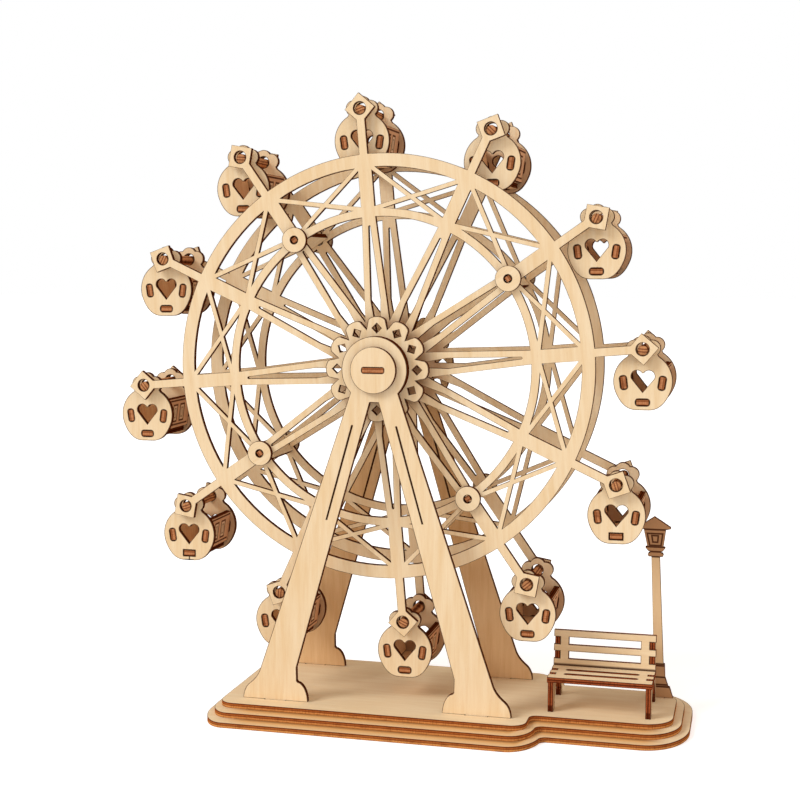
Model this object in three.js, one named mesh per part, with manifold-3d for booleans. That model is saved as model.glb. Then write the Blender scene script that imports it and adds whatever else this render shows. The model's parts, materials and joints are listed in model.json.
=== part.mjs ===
// Tabletop ferris wheel built from laser-cut plywood sheets.
// Millimetres, +X right, +Y to the back, +Z up. The origin is on the underside of the base,
// straight below the wheel's hub.
import * as THREE from 'three';
import { mergeVertices } from 'three/addons/utils/BufferGeometryUtils.js';
import Module from 'manifold-3d';

const wasm = await Module();
wasm.setup();

// Sheet stock and fits
const ply = 2;
const pegGap = 0.15;
const runGap = 0.25;
const endPlay = 0.3;
const overcut = 1;

// Depths, outwards from the middle: cabins, wheel plates, hub stack, A-frames
const cabinHalfDepth = 13.3;
const cabinSideGap = 1.4;
const collarThickness = 4.8;
const wheelHalfGap = cabinHalfDepth + cabinSideGap;
const collarInner = wheelHalfGap + ply + endPlay;
const rosetteInner = collarInner + collarThickness;
const frameHalfGap = rosetteInner + 2 * ply;

// Gondolas
const pinRadius = 2;
const pinGap = 0.35;
const pinInset = 0.3;
const bodyRadius = 10.9;
const bodyDrop = 12.1;
const bodyBottom = 22.9;
const hipDrop = 16.2;
const heelPull = 6.8;
const bottomHalfWidth = 3.8;
const neckHalfWidth = 5.8;
const lobeRadius = 3.1;
const lobeSpread = 3.3;
const lobeRise = 0.3;
const topLobeRise = 1.9;
const lobeStartAngle = THREE.MathUtils.degToRad(-50);
const heartWidth = 8.7;
const heartNotchDrop = 9.1;
const heartTipDrop = 16.3;
const heartLobeDrop = 10.2;
const heartStartAngle = THREE.MathUtils.degToRad(-22);
const heartEndAngle = THREE.MathUtils.degToRad(150);
const panelOffset = 7.1;
const panelDrop = 12.7;
const panelTop = 6;
const panelBottom = 18.2;
const panelLeanAngle = THREE.MathUtils.degToRad(8);
const floorDrop = 20;
const floorWidth = 8.6;

// Wheel
const armCount = 12;
const wheelTurnAngle = THREE.MathUtils.degToRad(-5);
const pivotRadius = 100;
const armReach = 17.5;
const outerRingWidth = 5.1;
const cellDepth = 15.8;
const innerRingWidth = 3.2;
const ringOuter = pivotRadius - armReach;
const ringOuterInside = ringOuter - outerRingWidth;
const ringInner = ringOuterInside - cellDepth;
const ringInnerInside = ringInner - innerRingWidth;
const spokeHalfWidth = 2.7;
const armHalfWidth = 1.65;
const armEndHalfWidth = 5.95;
const braceWidth = 1.7;
const forkValleyRadius = 18.7;
const slotStartRadius = 14.3;
const slotStartHalfWidth = 0.8;
const slotElbowRadius = 26.5;
const slotElbowHalfWidth = 1.95;
const slotEndMargin = 3.6;
const slotEndHalfWidth = 0.35;

// Cross planks between the two wheel plates, and their washers
const plankArms = [2, 5, 8, 11];
const plankInset = 1.2;
const plankRadius = ringInner - plankInset;
const plankWidth = 8;
const pegWidth = 2;
const pegEndInset = 0.4;
const washerRadius = 4.9;

// Base sheets, and the hub's height over them
const baseSheets = ['base_top_plate', 'base_middle_plate', 'base_bottom_plate'];
const baseTop = baseSheets.length * ply;
const cabinClearance = 8.3;
const hubHeight = baseTop + cabinClearance + bodyBottom + pivotRadius;
const baseCornerRadius = 6;
const neckRadius = 3;
const wingCornerRadius = 11;
const growLeft = 2.2;
const growRight = 3.1;
const growSide = 6.3;

// A-frames
const headRadius = 12.8;
const legNeckHalfWidth = 9.3;
const crotchHalfWidth = 1.8;
const crotchInset = 0.4;
const footOuter = 53.6;
const footInner = 27;
const ankleOuter = 48.2;
const ankleInner = 31.6;
const ankleOuterRise = 7;
const ankleInnerRise = 7.8;
const calfRise = 13.5;
const slitWidth = 0.6;
const slitTopDrop = 21.5;
const slitBottomDrop = 58.3;
const slitTopShare = 0.47;
const slitBottomShare = 0.38;
const footTabWidth = 8.6;

// Axle, caps and rosettes
const axleWidth = 8.4;
const capRadius = 8.9;
const collarRadius = 8;
const petalCount = 12;
const petalTipRadius = 20.3;
const petalShoulderRadius = 18.5;
const petalValleyRadius = 15.8;
const petalWindowRadius = 15.6;
const petalWindowHalfWidth = 1.85;
const petalShoulderShare = 0.65;

// Street lamp, in line with the wheel's rim
const lampOffset = 6.1;
const lampX = pivotRadius + lampOffset;
const lampGap = 1.2;
const lampFrontY = cabinHalfDepth + lampGap;
const lampLeanAngle = THREE.MathUtils.degToRad(2.5);
const lampTop = 78.4;
const roofTipHalfWidth = 6.2;
const roofTipZ = 74.3;
const roofTipEdge = 0.6;
const eaveHalfWidth = 4.5;
const eaveZ = 73.3;
const lanternTopHalfWidth = 4.3;
const lanternBottomHalfWidth = 3.1;
const lanternBottomZ = 66.4;
const collarTopHalfWidth = 3.8;
const collarBottomHalfWidth = 2.6;
const collarHeight = 1.9;
const beadHalfWidth = 3.1;
const beadHeight = 1.5;
const waistHalfWidth = 2.2;
const waistHeight = 0.5;
const postTopHalfWidth = 1.5;
const postBottomHalfWidth = 1.7;
const plinthTopZ = 19.5;
const plinthTopHalfWidth = 2.4;
const plinthWaistZ = 14.2;
const plinthStepZ = 10.4;
const plinthStepHalfWidth = 3.5;
const plinthStepOut = 0.5;
const plinthFootHalfWidth = 5.2;
const lampTabWidth = 4;

// Park bench, in front of the lamp
const benchOffset = 20.8;
const benchCentreX = lampX - benchOffset;
const benchLength = 39.8;
const benchFrontY = -15.5;
const benchDepth = 27.1;
const benchInset = 0.4;
const seatTop = 19.5;
const seatDepth = 18.2;
const slatGap = 2;
const slatRows = 2;
const seatEndMargin = 5.9;
const backHeight = 13.8;
const backFootDrop = 1.6;
const backLeanAngle = THREE.MathUtils.degToRad(6);
const backRowHeight = 2.9;
const backRowDrops = [11.3, 5.7];
const backMargin = 5.9;
const notchDepth = 2.7;
const uprightDepth = 3.6;
const uprightTopInset = 1;
const benchFootHeight = 2.6;
const benchFootDepth = 5.2;
const benchHeelDepth = 4.1;
const benchFootOverhang = 1.1;
const benchArchRise = 7.6;

// Base top sheet: margins round what stands on it
const baseMarginLeft = 7.7;
const baseMarginRight = 6.4;
const baseMarginDepth = 8.7;
const wingMargin = 6.9;
const wingHalfDepth = 21.8;
const baseLeft = footOuter + baseMarginLeft;
const baseShoulder = footOuter + baseMarginRight;
const baseRight = lampX + wingMargin;
const baseHalfDepth = frameHalfGap + ply + baseMarginDepth;

// Segment counts
const holeSides = 8;
const pinSides = 10;
const washerSides = 14;
const boreSides = 16;
const discSides = 24;
const arcSteps = 3;
const cornerSteps = 5;
const bodySteps = 5;

// Finishes
const paleSheet = { color: 0xf0d2a5, roughness: 0.72, metalness: 0 };
const baseSheet = { color: 0xe6c69a, roughness: 0.75, metalness: 0 };
const cutEdge = { color: 0xb5713f, roughness: 0.8, metalness: 0 };

// Directions that a flat sheet is turned to: facing the front, or facing the side
const alongX = new THREE.Vector3(1, 0, 0);
const alongY = new THREE.Vector3(0, 1, 0);
const alongZ = new THREE.Vector3(0, 0, 1);
const facingFront = new THREE.Matrix4().makeBasis(alongX, alongZ, alongY.clone().negate());
const facingSide = new THREE.Matrix4().makeBasis(alongY, alongZ, alongX);
const lyingFlat = new THREE.Matrix4();

// Outline helpers: points are [across, up]
const mirror = (points) => points.map(([x, y]) => [-x, y]).reverse();
const shift = (points, dx, dy) => points.map(([x, y]) => [x + dx, y + dy]);

function turn(points, angle) {
  const c = Math.cos(angle);
  const s = Math.sin(angle);
  return points.map(([x, y]) => [x * c + y * s, y * c - x * s]);
}

function arc(cx, cy, rx, ry, from, to, steps) {
  const points = [];
  for (let i = 0; i <= steps; i += 1) {
    const a = from + ((to - from) * i) / steps;
    points.push([cx + rx * Math.cos(a), cy + ry * Math.sin(a)]);
  }
  return points;
}

// A many-sided hole whose flats touch a circle of the given radius
function roundHole(radius, sides, cx = 0, cy = 0) {
  const reach = radius / Math.cos(Math.PI / sides);
  return arc(cx, cy, reach, reach, 0, 2 * Math.PI, sides).slice(1);
}

function disc(radius, sides) {
  return arc(0, 0, radius, radius, 0, 2 * Math.PI, sides).slice(1);
}

function rectangle(width, height, cx = 0, cy = 0) {
  const x = width / 2;
  const y = height / 2;
  return [[cx - x, cy - y], [cx + x, cy - y], [cx + x, cy + y], [cx - x, cy + y]];
}

function crossOutline(width, gap) {
  const long = width / 2 + gap;
  const thin = ply / 2 + gap;
  const arm = [[long, -thin], [long, thin], [thin, thin]];
  const step = Math.PI / 2;
  return [0, 1, 2, 3].flatMap((k) => turn(arm, -k * step));
}

function extrude(outline, thickness) {
  const shape = new THREE.Shape(outline.map(([x, y]) => new THREE.Vector2(x, y)));
  return new THREE.ExtrudeGeometry(shape, { depth: thickness, bevelEnabled: false });
}

function solidOf(geometry) {
  const bare = geometry.clone();
  bare.deleteAttribute('normal');
  bare.deleteAttribute('uv');
  const merged = mergeVertices(bare);
  return new wasm.Manifold(new wasm.Mesh({
    numProp: 3,
    vertProperties: merged.attributes.position.array,
    triVerts: Uint32Array.from(merged.index.array),
  }));
}

function geometryOf(solid) {
  const mesh = solid.getMesh();
  const indexed = new THREE.BufferGeometry();
  indexed.setAttribute('position', new THREE.BufferAttribute(mesh.vertProperties, 3));
  indexed.setIndex(new THREE.BufferAttribute(mesh.triVerts, 1));
  const geometry = indexed.toNonIndexed();
  geometry.computeVertexNormals();
  return geometry;
}

// A flat sheet with its holes cut right through, turned into the plane that it stands in
function sheet(outline, { holes = [], thickness = ply, plane = facingFront } = {}) {
  const blank = extrude(outline, thickness);
  if (holes.length === 0) return blank.applyMatrix4(plane);
  const cutters = holes.map((hole) => {
    const cutter = extrude(hole, thickness + 2 * overcut).translate(0, 0, -overcut);
    return solidOf(cutter);
  });
  const cut = cutters.reduce((rest, cutter) => rest.subtract(cutter), solidOf(blank));
  return geometryOf(cut).applyMatrix4(plane);
}

function join(geometries) {
  return geometryOf(geometries.map(solidOf).reduce((whole, next) => whole.add(next)));
}

function piece(parent, name, geometry, finish, [x, y, z] = [0, 0, 0]) {
  const mesh = new THREE.Mesh(geometry, new THREE.MeshStandardMaterial(finish));
  mesh.name = name;
  mesh.position.set(x, y, z);
  parent.add(mesh);
  return mesh;
}

const numbered = (stem, k) => `${stem}_${String(k + 1).padStart(2, '0')}`;
const lerp = THREE.MathUtils.lerp;

// Base: three stacked sheets, each larger than the one above
function baseOutline(level) {
  const left = -(baseLeft + level * growLeft);
  const right = baseRight + level * growRight;
  const shoulder = baseShoulder + level * growRight;
  const deep = baseHalfDepth + level * growSide;
  const wing = wingHalfDepth + level * growSide;
  const sideRadius = baseCornerRadius + level * growSide;
  const leftRadius = baseCornerRadius + level * growLeft;
  const shoulderRadius = baseCornerRadius + level * growRight;
  const wingX = wingCornerRadius + level * growRight;
  const wingY = wingCornerRadius + level * growSide;
  const quarter = Math.PI / 2;
  // The shoulder's curve starts at the height where the neck's curve ends
  const neckRise = Math.max(0, (wing + neckRadius - deep + sideRadius) / sideRadius);
  const shoulderStart = Math.asin(neckRise);
  const neckX = shoulder - shoulderRadius * (1 - Math.cos(shoulderStart)) + neckRadius;
  const back = [
    ...arc(right - wingX, wing - wingY, wingX, wingY, 0, quarter, cornerSteps),
    ...arc(neckX, wing + neckRadius, neckRadius, neckRadius, -quarter, -Math.PI, arcSteps),
    ...arc(shoulder - shoulderRadius, deep - sideRadius, shoulderRadius, sideRadius, shoulderStart, quarter,
      cornerSteps).slice(neckRise > 0 ? 1 : 0),
    ...arc(left + leftRadius, deep - sideRadius, leftRadius, sideRadius, quarter, 2 * quarter, cornerSteps),
  ];
  const front = back.map(([x, y]) => [x, -y]).reverse();
  return [...back, ...front];
}

// Slots in the top sheet for the tabs of everything that stands on it
function tabSlots() {
  const slot = (cx, cy, width, depth) => rectangle(width + 2 * pegGap, depth + 2 * pegGap, cx, cy);
  const footX = (footOuter + footInner) / 2;
  const frameY = frameHalfGap + ply / 2;
  const feet = [-1, 1].flatMap((sx) => [-1, 1].map((sy) => slot(sx * footX, sy * frameY, footTabWidth, ply)));
  const lamp = slot(lampX, lampFrontY + ply / 2, lampTabWidth, ply);
  return [...feet, lamp];
}

function addBase(parent) {
  baseSheets.forEach((name, level) => {
    const above = level * ply;
    const holes = level === 0 ? tabSlots() : [];
    const geometry = sheet(baseOutline(level), { holes, plane: lyingFlat });
    piece(parent, name, geometry, baseSheet, [0, 0, baseTop - above - ply]);
  });
}

// A-frame, drawn round the hub's axis
const frameHeight = hubHeight - baseTop;
const neckDrop = Math.sqrt(headRadius ** 2 - legNeckHalfWidth ** 2);
const crotchDrop = headRadius - crotchInset;
const legOuterAt = (drop) => {
  const along = (drop - neckDrop) / (frameHeight - ankleOuterRise - neckDrop);
  return lerp(legNeckHalfWidth, ankleOuter, along);
};
const legInnerAt = (drop) => {
  const along = (drop - crotchDrop) / (frameHeight - calfRise - crotchDrop);
  return lerp(crotchHalfWidth, ankleInner, along);
};

function frameOutline() {
  const floor = -frameHeight;
  const tabCentre = (footOuter + footInner) / 2;
  const tabLeft = tabCentre - footTabWidth / 2;
  const tabRight = tabCentre + footTabWidth / 2;
  const quarter = Math.PI / 2;
  const neckAngle = Math.asin(neckDrop / headRadius);
  const inner = arc(ankleInner, floor, ankleInner - footInner, ankleInnerRise, quarter, Math.PI, cornerSteps);
  const outer = arc(ankleOuter, floor, footOuter - ankleOuter, ankleOuterRise, 0, quarter, cornerSteps);
  const rightLeg = [
    [crotchHalfWidth, -crotchDrop],
    [ankleInner, floor + calfRise],
    ...inner,
    [tabLeft, floor], [tabLeft, floor - ply], [tabRight, floor - ply], [tabRight, floor],
    ...outer,
  ];
  const head = arc(0, 0, headRadius, headRadius, -neckAngle, Math.PI + neckAngle, discSides);
  return [...rightLeg, ...head, ...mirror(rightLeg)];
}

function legSlit() {
  const at = (drop, share) => lerp(legInnerAt(drop), legOuterAt(drop), share);
  const top = at(slitTopDrop, slitTopShare);
  const bottom = at(slitBottomDrop, slitBottomShare);
  const half = slitWidth / 2;
  return [
    [bottom - half, -slitBottomDrop], [bottom + half, -slitBottomDrop],
    [top + half, -slitTopDrop], [top - half, -slitTopDrop],
  ];
}

const axleSlot = () => rectangle(axleWidth + 2 * pegGap, ply + 2 * pegGap);

function addFrames(parent) {
  const holes = [axleSlot(), legSlit(), mirror(legSlit())];
  const geometry = sheet(frameOutline(), { holes });
  piece(parent, 'front_a_frame', geometry, paleSheet, [0, -frameHalfGap, hubHeight]);
  piece(parent, 'rear_a_frame', geometry.clone(), paleSheet, [0, frameHalfGap + ply, hubHeight]);
}

// Axle: two blades that slide into each other halfway, so their section is a cross
function addAxle(parent) {
  const w = axleWidth / 2;
  const reach = frameHalfGap + 2 * ply;
  const crossReach = frameHalfGap - pegGap;
  const lap = ply / 2 + pegGap;
  const longBlade = [
    [-w, -reach], [w, -reach], [w, reach], [lap, reach],
    [lap, -pegGap], [-lap, -pegGap], [-lap, reach], [-w, reach],
  ];
  const crossBlade = [
    [-crossReach, -w], [crossReach, -w], [crossReach, w], [-crossReach, w],
    [-crossReach, lap], [0, lap], [0, -lap], [-crossReach, -lap],
  ];
  const flat = sheet(longBlade, { plane: lyingFlat });
  const upright = sheet(crossBlade, { plane: facingSide });
  piece(parent, 'axle_long_blade', flat, cutEdge, [0, 0, hubHeight - ply / 2]);
  piece(parent, 'axle_cross_blade', upright, cutEdge, [-ply / 2, 0, hubHeight]);
}

// Rosette: a ring of petals, each with a diamond window
function rosetteOutline() {
  const pitch = (2 * Math.PI) / petalCount;
  const polar = (r, a) => [r * Math.sin(a), r * Math.cos(a)];
  const shoulder = (pitch / 2) * petalShoulderShare;
  const points = [];
  for (let k = 0; k < petalCount; k += 1) {
    const mid = k * pitch;
    points.push(polar(petalValleyRadius, mid - pitch / 2), polar(petalShoulderRadius, mid - shoulder));
    points.push(polar(petalTipRadius, mid), polar(petalShoulderRadius, mid + shoulder));
  }
  return points;
}

function rosetteWindows() {
  const h = petalWindowHalfWidth;
  const diamond = [[0, petalWindowRadius - h], [h, petalWindowRadius],
    [0, petalWindowRadius + h], [-h, petalWindowRadius]];
  return Array.from({ length: petalCount }, (_, k) => turn(diamond, (k * 2 * Math.PI) / petalCount));
}

// What sits on the axle, outwards from the wheel: collar, rosette, head disc, frame, cap
function addHubStack(parent, side, facing) {
  const cross = crossOutline(axleWidth, pegGap);
  const layers = [
    ['hub_collar', disc(collarRadius, discSides), [cross], collarInner, collarThickness],
    ['rosette', rosetteOutline(), [cross, ...rosetteWindows()], rosetteInner, ply],
    ['head_disc', disc(headRadius, discSides), [cross], rosetteInner + ply, ply],
    ['axle_cap', disc(capRadius, discSides), [axleSlot()], frameHalfGap + ply, ply],
  ];
  layers.forEach(([name, outline, holes, near, thickness]) => {
    const back = facing < 0 ? -near : near + thickness;
    piece(parent, `${side}_${name}`, sheet(outline, { holes, thickness }), paleSheet, [0, back, hubHeight]);
  });
}

// Wheel plates: outline and openings of one twelfth, turned round the hub
const armPitch = (2 * Math.PI) / armCount;
const hubHole = Math.hypot(axleWidth, ply) / 2 + runGap;
const pegHole = Math.hypot(pegWidth, ply) / 2 + pegGap;

// A point beside an arm, in a frame whose up direction halves the gap between two arms
const besideArm = (radius, half) => {
  const along = Math.sqrt(radius ** 2 - half ** 2);
  return turn([[-half, along]], armPitch / 2)[0];
};

function meet([ax, ay], [bx, by], [cx, cy], [dx, dy]) {
  const t = ((cx - ax) * (dy - cy) - (cy - ay) * (dx - cx)) / ((bx - ax) * (dy - cy) - (by - ay) * (dx - cx));
  return [ax + t * (bx - ax), ay + t * (by - ay)];
}

// Where the line from a to b, run on past b, leaves or enters a circle round the hub
function meetCircle([ax, ay], [bx, by], radius, outward) {
  const dx = bx - ax;
  const dy = by - ay;
  const a = dx * dx + dy * dy;
  const b = 2 * (ax * dx + ay * dy);
  const c = ax * ax + ay * ay - radius * radius;
  const root = Math.sqrt(b * b - 4 * a * c);
  const t = (-b + (outward ? root : -root)) / (2 * a);
  return [ax + t * dx, ay + t * dy];
}

const ringArc = (radius, from, to) => {
  const a = Math.atan2(from[1], from[0]);
  const b = Math.atan2(to[1], to[0]);
  return arc(0, 0, radius, radius, a, b, arcSteps);
};
const flipX = ([x, y]) => [-x, y];

// The four openings that a pair of crossed braces leaves between the rings
function braceOpenings() {
  const outerRight = besideArm(ringOuterInside, spokeHalfWidth);
  const innerRight = besideArm(ringInner, spokeHalfWidth);
  const innerLeft = flipX(innerRight);
  const length = Math.hypot(outerRight[0] - innerLeft[0], outerRight[1] - innerLeft[1]);
  const nx = (-(outerRight[1] - innerLeft[1]) / length) * (braceWidth / 2);
  const ny = ((outerRight[0] - innerLeft[0]) / length) * (braceWidth / 2);
  const upper = shift([innerLeft, outerRight], nx, ny);
  const lower = shift([innerLeft, outerRight], -nx, -ny);
  const upperOther = upper.map(flipX);
  const lowerOther = lower.map(flipX);
  const top = meet(...upper, ...upperOther);
  const bottom = meet(...lower, ...lowerOther);
  const side = meet(...lower, ...upperOther);
  const topRight = meetCircle(...upper, ringOuterInside, true);
  const bottomLeft = meetCircle(bottom, lower[0], ringInner, false);
  const sideTop = meet(...lower, outerRight, innerRight);
  const sideBottom = meet(...upperOther, outerRight, innerRight);
  const right = [side, sideBottom, sideTop];
  return [
    [top, ...ringArc(ringOuterInside, topRight, flipX(topRight))],
    [bottom, ...ringArc(ringInner, bottomLeft, flipX(bottomLeft))],
    right,
    mirror(right),
  ];
}

function hubOpening() {
  const corner = besideArm(ringInnerInside, spokeHalfWidth);
  return [[0, forkValleyRadius], ...ringArc(ringInnerInside, corner, flipX(corner))];
}

function forkSlot() {
  const start = [slotStartHalfWidth, slotStartRadius];
  const elbow = [slotElbowHalfWidth, slotElbowRadius];
  const right = [start, elbow, [slotEndHalfWidth, ringInnerInside - slotEndMargin]];
  return [...right, ...mirror(right)];
}

function wheelOutline() {
  const reach = Math.sqrt(ringOuter ** 2 - armHalfWidth ** 2);
  const right = [
    [0, pivotRadius + armEndHalfWidth], [armEndHalfWidth, pivotRadius],
    [armHalfWidth, pivotRadius - armEndHalfWidth + armHalfWidth], [armHalfWidth, reach],
  ];
  const arm = [...mirror(right).slice(0, -1), ...right];
  const next = turn([[-armHalfWidth, reach]], armPitch)[0];
  const rim = ringArc(ringOuter, [armHalfWidth, reach], next).slice(1, -1);
  const points = [];
  for (let k = 0; k < armCount; k += 1) points.push(...turn([...arm, ...rim], k * armPitch));
  return points;
}

function wheelHoles() {
  const holes = [roundHole(hubHole, boreSides)];
  for (let k = 0; k < armCount; k += 1) {
    const between = (k + 0.5) * armPitch;
    [...braceOpenings(), hubOpening()].forEach((hole) => holes.push(turn(hole, between)));
    holes.push(turn(forkSlot(), k * armPitch));
    holes.push(turn(roundHole(pinRadius + pinGap, holeSides, 0, pivotRadius), k * armPitch));
  }
  plankArms.forEach((arm) => {
    holes.push(turn(roundHole(pegHole, holeSides, 0, plankRadius), arm * armPitch));
  });
  return holes;
}

function addWheel(parent) {
  const wheel = new THREE.Group();
  wheel.position.z = hubHeight;
  wheel.rotation.y = wheelTurnAngle;
  parent.add(wheel);
  const plate = sheet(wheelOutline(), { holes: wheelHoles() });
  piece(wheel, 'front_wheel_plate', plate, paleSheet, [0, -wheelHalfGap, 0]);
  piece(wheel, 'rear_wheel_plate', plate.clone(), paleSheet, [0, wheelHalfGap + ply, 0]);
  plankArms.forEach((arm, k) => addPlank(wheel, k, arm * armPitch));
}

// One cross plank with a peg at each end, and the washer that covers each peg
function addPlank(wheel, k, angle) {
  const holder = new THREE.Group();
  holder.rotation.y = angle;
  wheel.add(holder);
  const half = plankWidth / 2;
  const peg = pegWidth / 2;
  const inner = wheelHalfGap - pegGap;
  const end = wheelHalfGap + 2 * ply - pegEndInset;
  const corner = [[half, inner], [peg, inner], [peg, end]];
  const back = [...corner, ...mirror(corner)];
  const outline = [...back, ...back.map(([x, y]) => [x, -y]).reverse()];
  const plank = sheet(outline, { plane: lyingFlat });
  piece(holder, numbered('wheel_plank', k), plank, cutEdge, [0, 0, plankRadius - ply / 2]);
  const washer = sheet(disc(washerRadius, washerSides), { holes: [roundHole(pegHole, holeSides)] });
  const face = wheelHalfGap + ply;
  piece(holder, numbered('front_washer', k), washer, paleSheet, [0, -face, plankRadius]);
  piece(holder, numbered('rear_washer', k), washer.clone(), paleSheet, [0, face + ply, plankRadius]);
}

// Gondola cabin, drawn round its pivot: apple-shaped walls with a three-lobed top
function cabinOutline() {
  const neckAngle = Math.acos(neckHalfWidth / bodyRadius);
  const hipAngle = -Math.asin((hipDrop - bodyDrop) / bodyRadius);
  const body = arc(0, -bodyDrop, bodyRadius, bodyRadius, hipAngle, neckAngle, bodySteps);
  const hip = new THREE.Vector2(...body[0]);
  const heelCorner = new THREE.Vector2(bottomHalfWidth, -bodyBottom);
  const pull = new THREE.Vector2(Math.sin(hipAngle), -Math.cos(hipAngle)).multiplyScalar(heelPull).add(hip);
  const heel = new THREE.QuadraticBezierCurve(heelCorner, pull, hip).getPoints(arcSteps);
  const rise = topLobeRise - lobeRise;
  const crossing = Math.acos(Math.hypot(lobeSpread, rise) / (2 * lobeRadius));
  const sideEnd = Math.atan2(rise, -lobeSpread) - crossing;
  const topStart = Math.atan2(-rise, lobeSpread) + crossing;
  const sideLobe = arc(lobeSpread, lobeRise, lobeRadius, lobeRadius, lobeStartAngle, sideEnd, arcSteps);
  const topLobe = arc(0, topLobeRise, lobeRadius, lobeRadius, topStart, Math.PI / 2, 2);
  const right = [...heel.slice(0, -1).map((p) => [p.x, p.y]), ...body, ...sideLobe, ...topLobe.slice(1)];
  return [...right, ...mirror(right).slice(1)];
}

function heartHole() {
  const r = heartWidth / 4;
  const lobe = arc(r, -heartLobeDrop, r, r, heartStartAngle, heartEndAngle, arcSteps + 1);
  const right = [[0, -heartTipDrop], ...lobe];
  return [...right, [0, -heartNotchDrop], ...mirror(right).slice(0, -1)];
}

function cabinWall() {
  return sheet(cabinOutline(), { holes: [roundHole(pinRadius + pinGap, holeSides), heartHole()] });
}

// Side panel between the walls; its ends run halfway into the walls
function cabinPanel(side) {
  const length = 2 * cabinHalfDepth - ply;
  const middle = panelDrop - (panelTop + panelBottom) / 2;
  const outline = rectangle(length, panelBottom - panelTop, 0, middle);
  const geometry = sheet(outline, { plane: facingSide });
  geometry.translate(-ply / 2, 0, 0);
  geometry.rotateY(side * panelLeanAngle);
  geometry.translate(side * panelOffset, 0, -panelDrop);
  return geometry;
}

function cabinGeometry() {
  const floor = sheet(rectangle(floorWidth, 2 * cabinHalfDepth - ply), { plane: lyingFlat });
  floor.translate(0, 0, -floorDrop - ply / 2);
  const front = cabinWall().translate(0, -cabinHalfDepth + ply, 0);
  const rear = cabinWall().translate(0, cabinHalfDepth, 0);
  return join([front, rear, cabinPanel(-1), cabinPanel(1), floor]);
}

function addGondolas(parent) {
  const cabin = cabinGeometry();
  const pinLength = 2 * (wheelHalfGap + ply - pinInset);
  const pin = new THREE.CylinderGeometry(pinRadius, pinRadius, pinLength, pinSides);
  for (let k = 0; k < armCount; k += 1) {
    const angle = wheelTurnAngle + k * armPitch;
    const place = [pivotRadius * Math.sin(angle), 0, hubHeight + pivotRadius * Math.cos(angle)];
    piece(parent, `${numbered('gondola', k)}_cabin`, cabin.clone(), paleSheet, place);
    piece(parent, `${numbered('gondola', k)}_pin`, pin.clone(), cutEdge, place);
  }
}

// Bench, drawn from its left end and the front of its seat
const seatBottom = seatTop - ply;
const backRearY = benchFrontY + seatDepth + endPlay + ply;
const rowShare = (k) => (k + 1) / (slatRows + 1);
const seatRowY = (k) => benchFrontY + seatDepth * rowShare(k);

function benchSeat() {
  const slots = [];
  const notches = [];
  for (let k = 0; k < slatRows; k += 1) {
    slots.push(rectangle(benchLength - 2 * seatEndMargin, slatGap, 0, seatRowY(k)));
    notches.push(seatRowY(k));
  }
  const notch = slatGap + 2 * pegGap;
  const outline = notchedPlate(benchLength, benchFrontY, benchFrontY + seatDepth, notches, notch);
  return sheet(outline, { holes: slots, plane: lyingFlat });
}

// A plate from low to high with square notches in both ends, at the given heights
function notchedPlate(width, low, high, centres, notch) {
  const half = width / 2;
  const bite = half - notchDepth;
  const right = [[half, low]];
  centres.forEach((c) => {
    right.push([half, c - notch / 2], [bite, c - notch / 2], [bite, c + notch / 2], [half, c + notch / 2]);
  });
  right.push([half, high]);
  return [...right, ...mirror(right)];
}

function benchBack() {
  const centres = backRowDrops.map((drop) => backHeight - drop + backRowHeight / 2);
  const windows = centres.map((c) => rectangle(benchLength - 2 * backMargin, backRowHeight, 0, c));
  const outline = notchedPlate(benchLength, -backFootDrop, backHeight, centres, backRowHeight);
  return sheet(outline, { holes: windows }).rotateX(-backLeanAngle);
}

// A point of the leaning back, from the foot of its rear face: [to the back, up]
const onBack = (y, z) => {
  const c = Math.cos(backLeanAngle);
  const s = Math.sin(backLeanAngle);
  return [backRearY + y * c + z * s, seatTop - y * s + z * c];
};

// Side frame in its own plane: legs with foot pads, an arch, and a leaning upright
function benchSide() {
  const front = benchFrontY;
  const rear = benchFrontY + benchDepth;
  const toe = front + benchFootDepth;
  const heel = rear - benchHeelDepth;
  const floor = baseTop;
  const padTop = floor + benchFootHeight;
  const archRear = new THREE.Vector2(heel + benchFootOverhang, padTop);
  const archFront = new THREE.Vector2(toe - benchFootOverhang, padTop);
  const archPull = new THREE.Vector2((toe + heel) / 2, padTop + 2 * benchArchRise);
  const archCurve = new THREE.QuadraticBezierCurve(archRear, archPull, archFront);
  const arch = archCurve.getPoints(2 * cornerSteps).map((p) => [p.x, p.y]);
  const rows = backRowDrops.flatMap((drop) => {
    const low = backHeight - drop + pegGap;
    const high = low + backRowHeight - 2 * pegGap;
    return [onBack(0, low), onBack(pegGap - ply, low), onBack(pegGap - ply, high), onBack(0, high)];
  });
  const backFootY = onBack(0, 0)[0];
  const uprightTop = backHeight - uprightTopInset;
  const seatPegs = [];
  for (let k = 0; k < slatRows; k += 1) {
    const y = seatRowY(k);
    const w = slatGap / 2;
    seatPegs.push([y - w, seatBottom], [y - w, seatTop], [y + w, seatTop], [y + w, seatBottom]);
  }
  return [
    [front, seatBottom], ...seatPegs, [backFootY, seatBottom], ...rows,
    onBack(0, uprightTop), onBack(uprightDepth / 2, uprightTop),
    [backFootY + uprightDepth, seatTop], [rear - benchFootOverhang, padTop], [rear, padTop], [rear, floor],
    [heel, floor], [heel, padTop], ...arch, [toe, padTop], [toe, floor], [front, floor],
  ];
}

function addBench(parent) {
  const sideX = benchLength / 2 - benchInset - ply;
  const side = sheet(benchSide(), { plane: facingSide });
  piece(parent, 'bench_side_left', side, paleSheet, [benchCentreX - sideX - ply, 0, 0]);
  piece(parent, 'bench_side_right', side.clone(), paleSheet, [benchCentreX + sideX, 0, 0]);
  piece(parent, 'bench_seat', benchSeat(), paleSheet, [benchCentreX, 0, seatBottom]);
  piece(parent, 'bench_back', benchBack(), paleSheet, [benchCentreX, backRearY, seatTop]);
}

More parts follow.
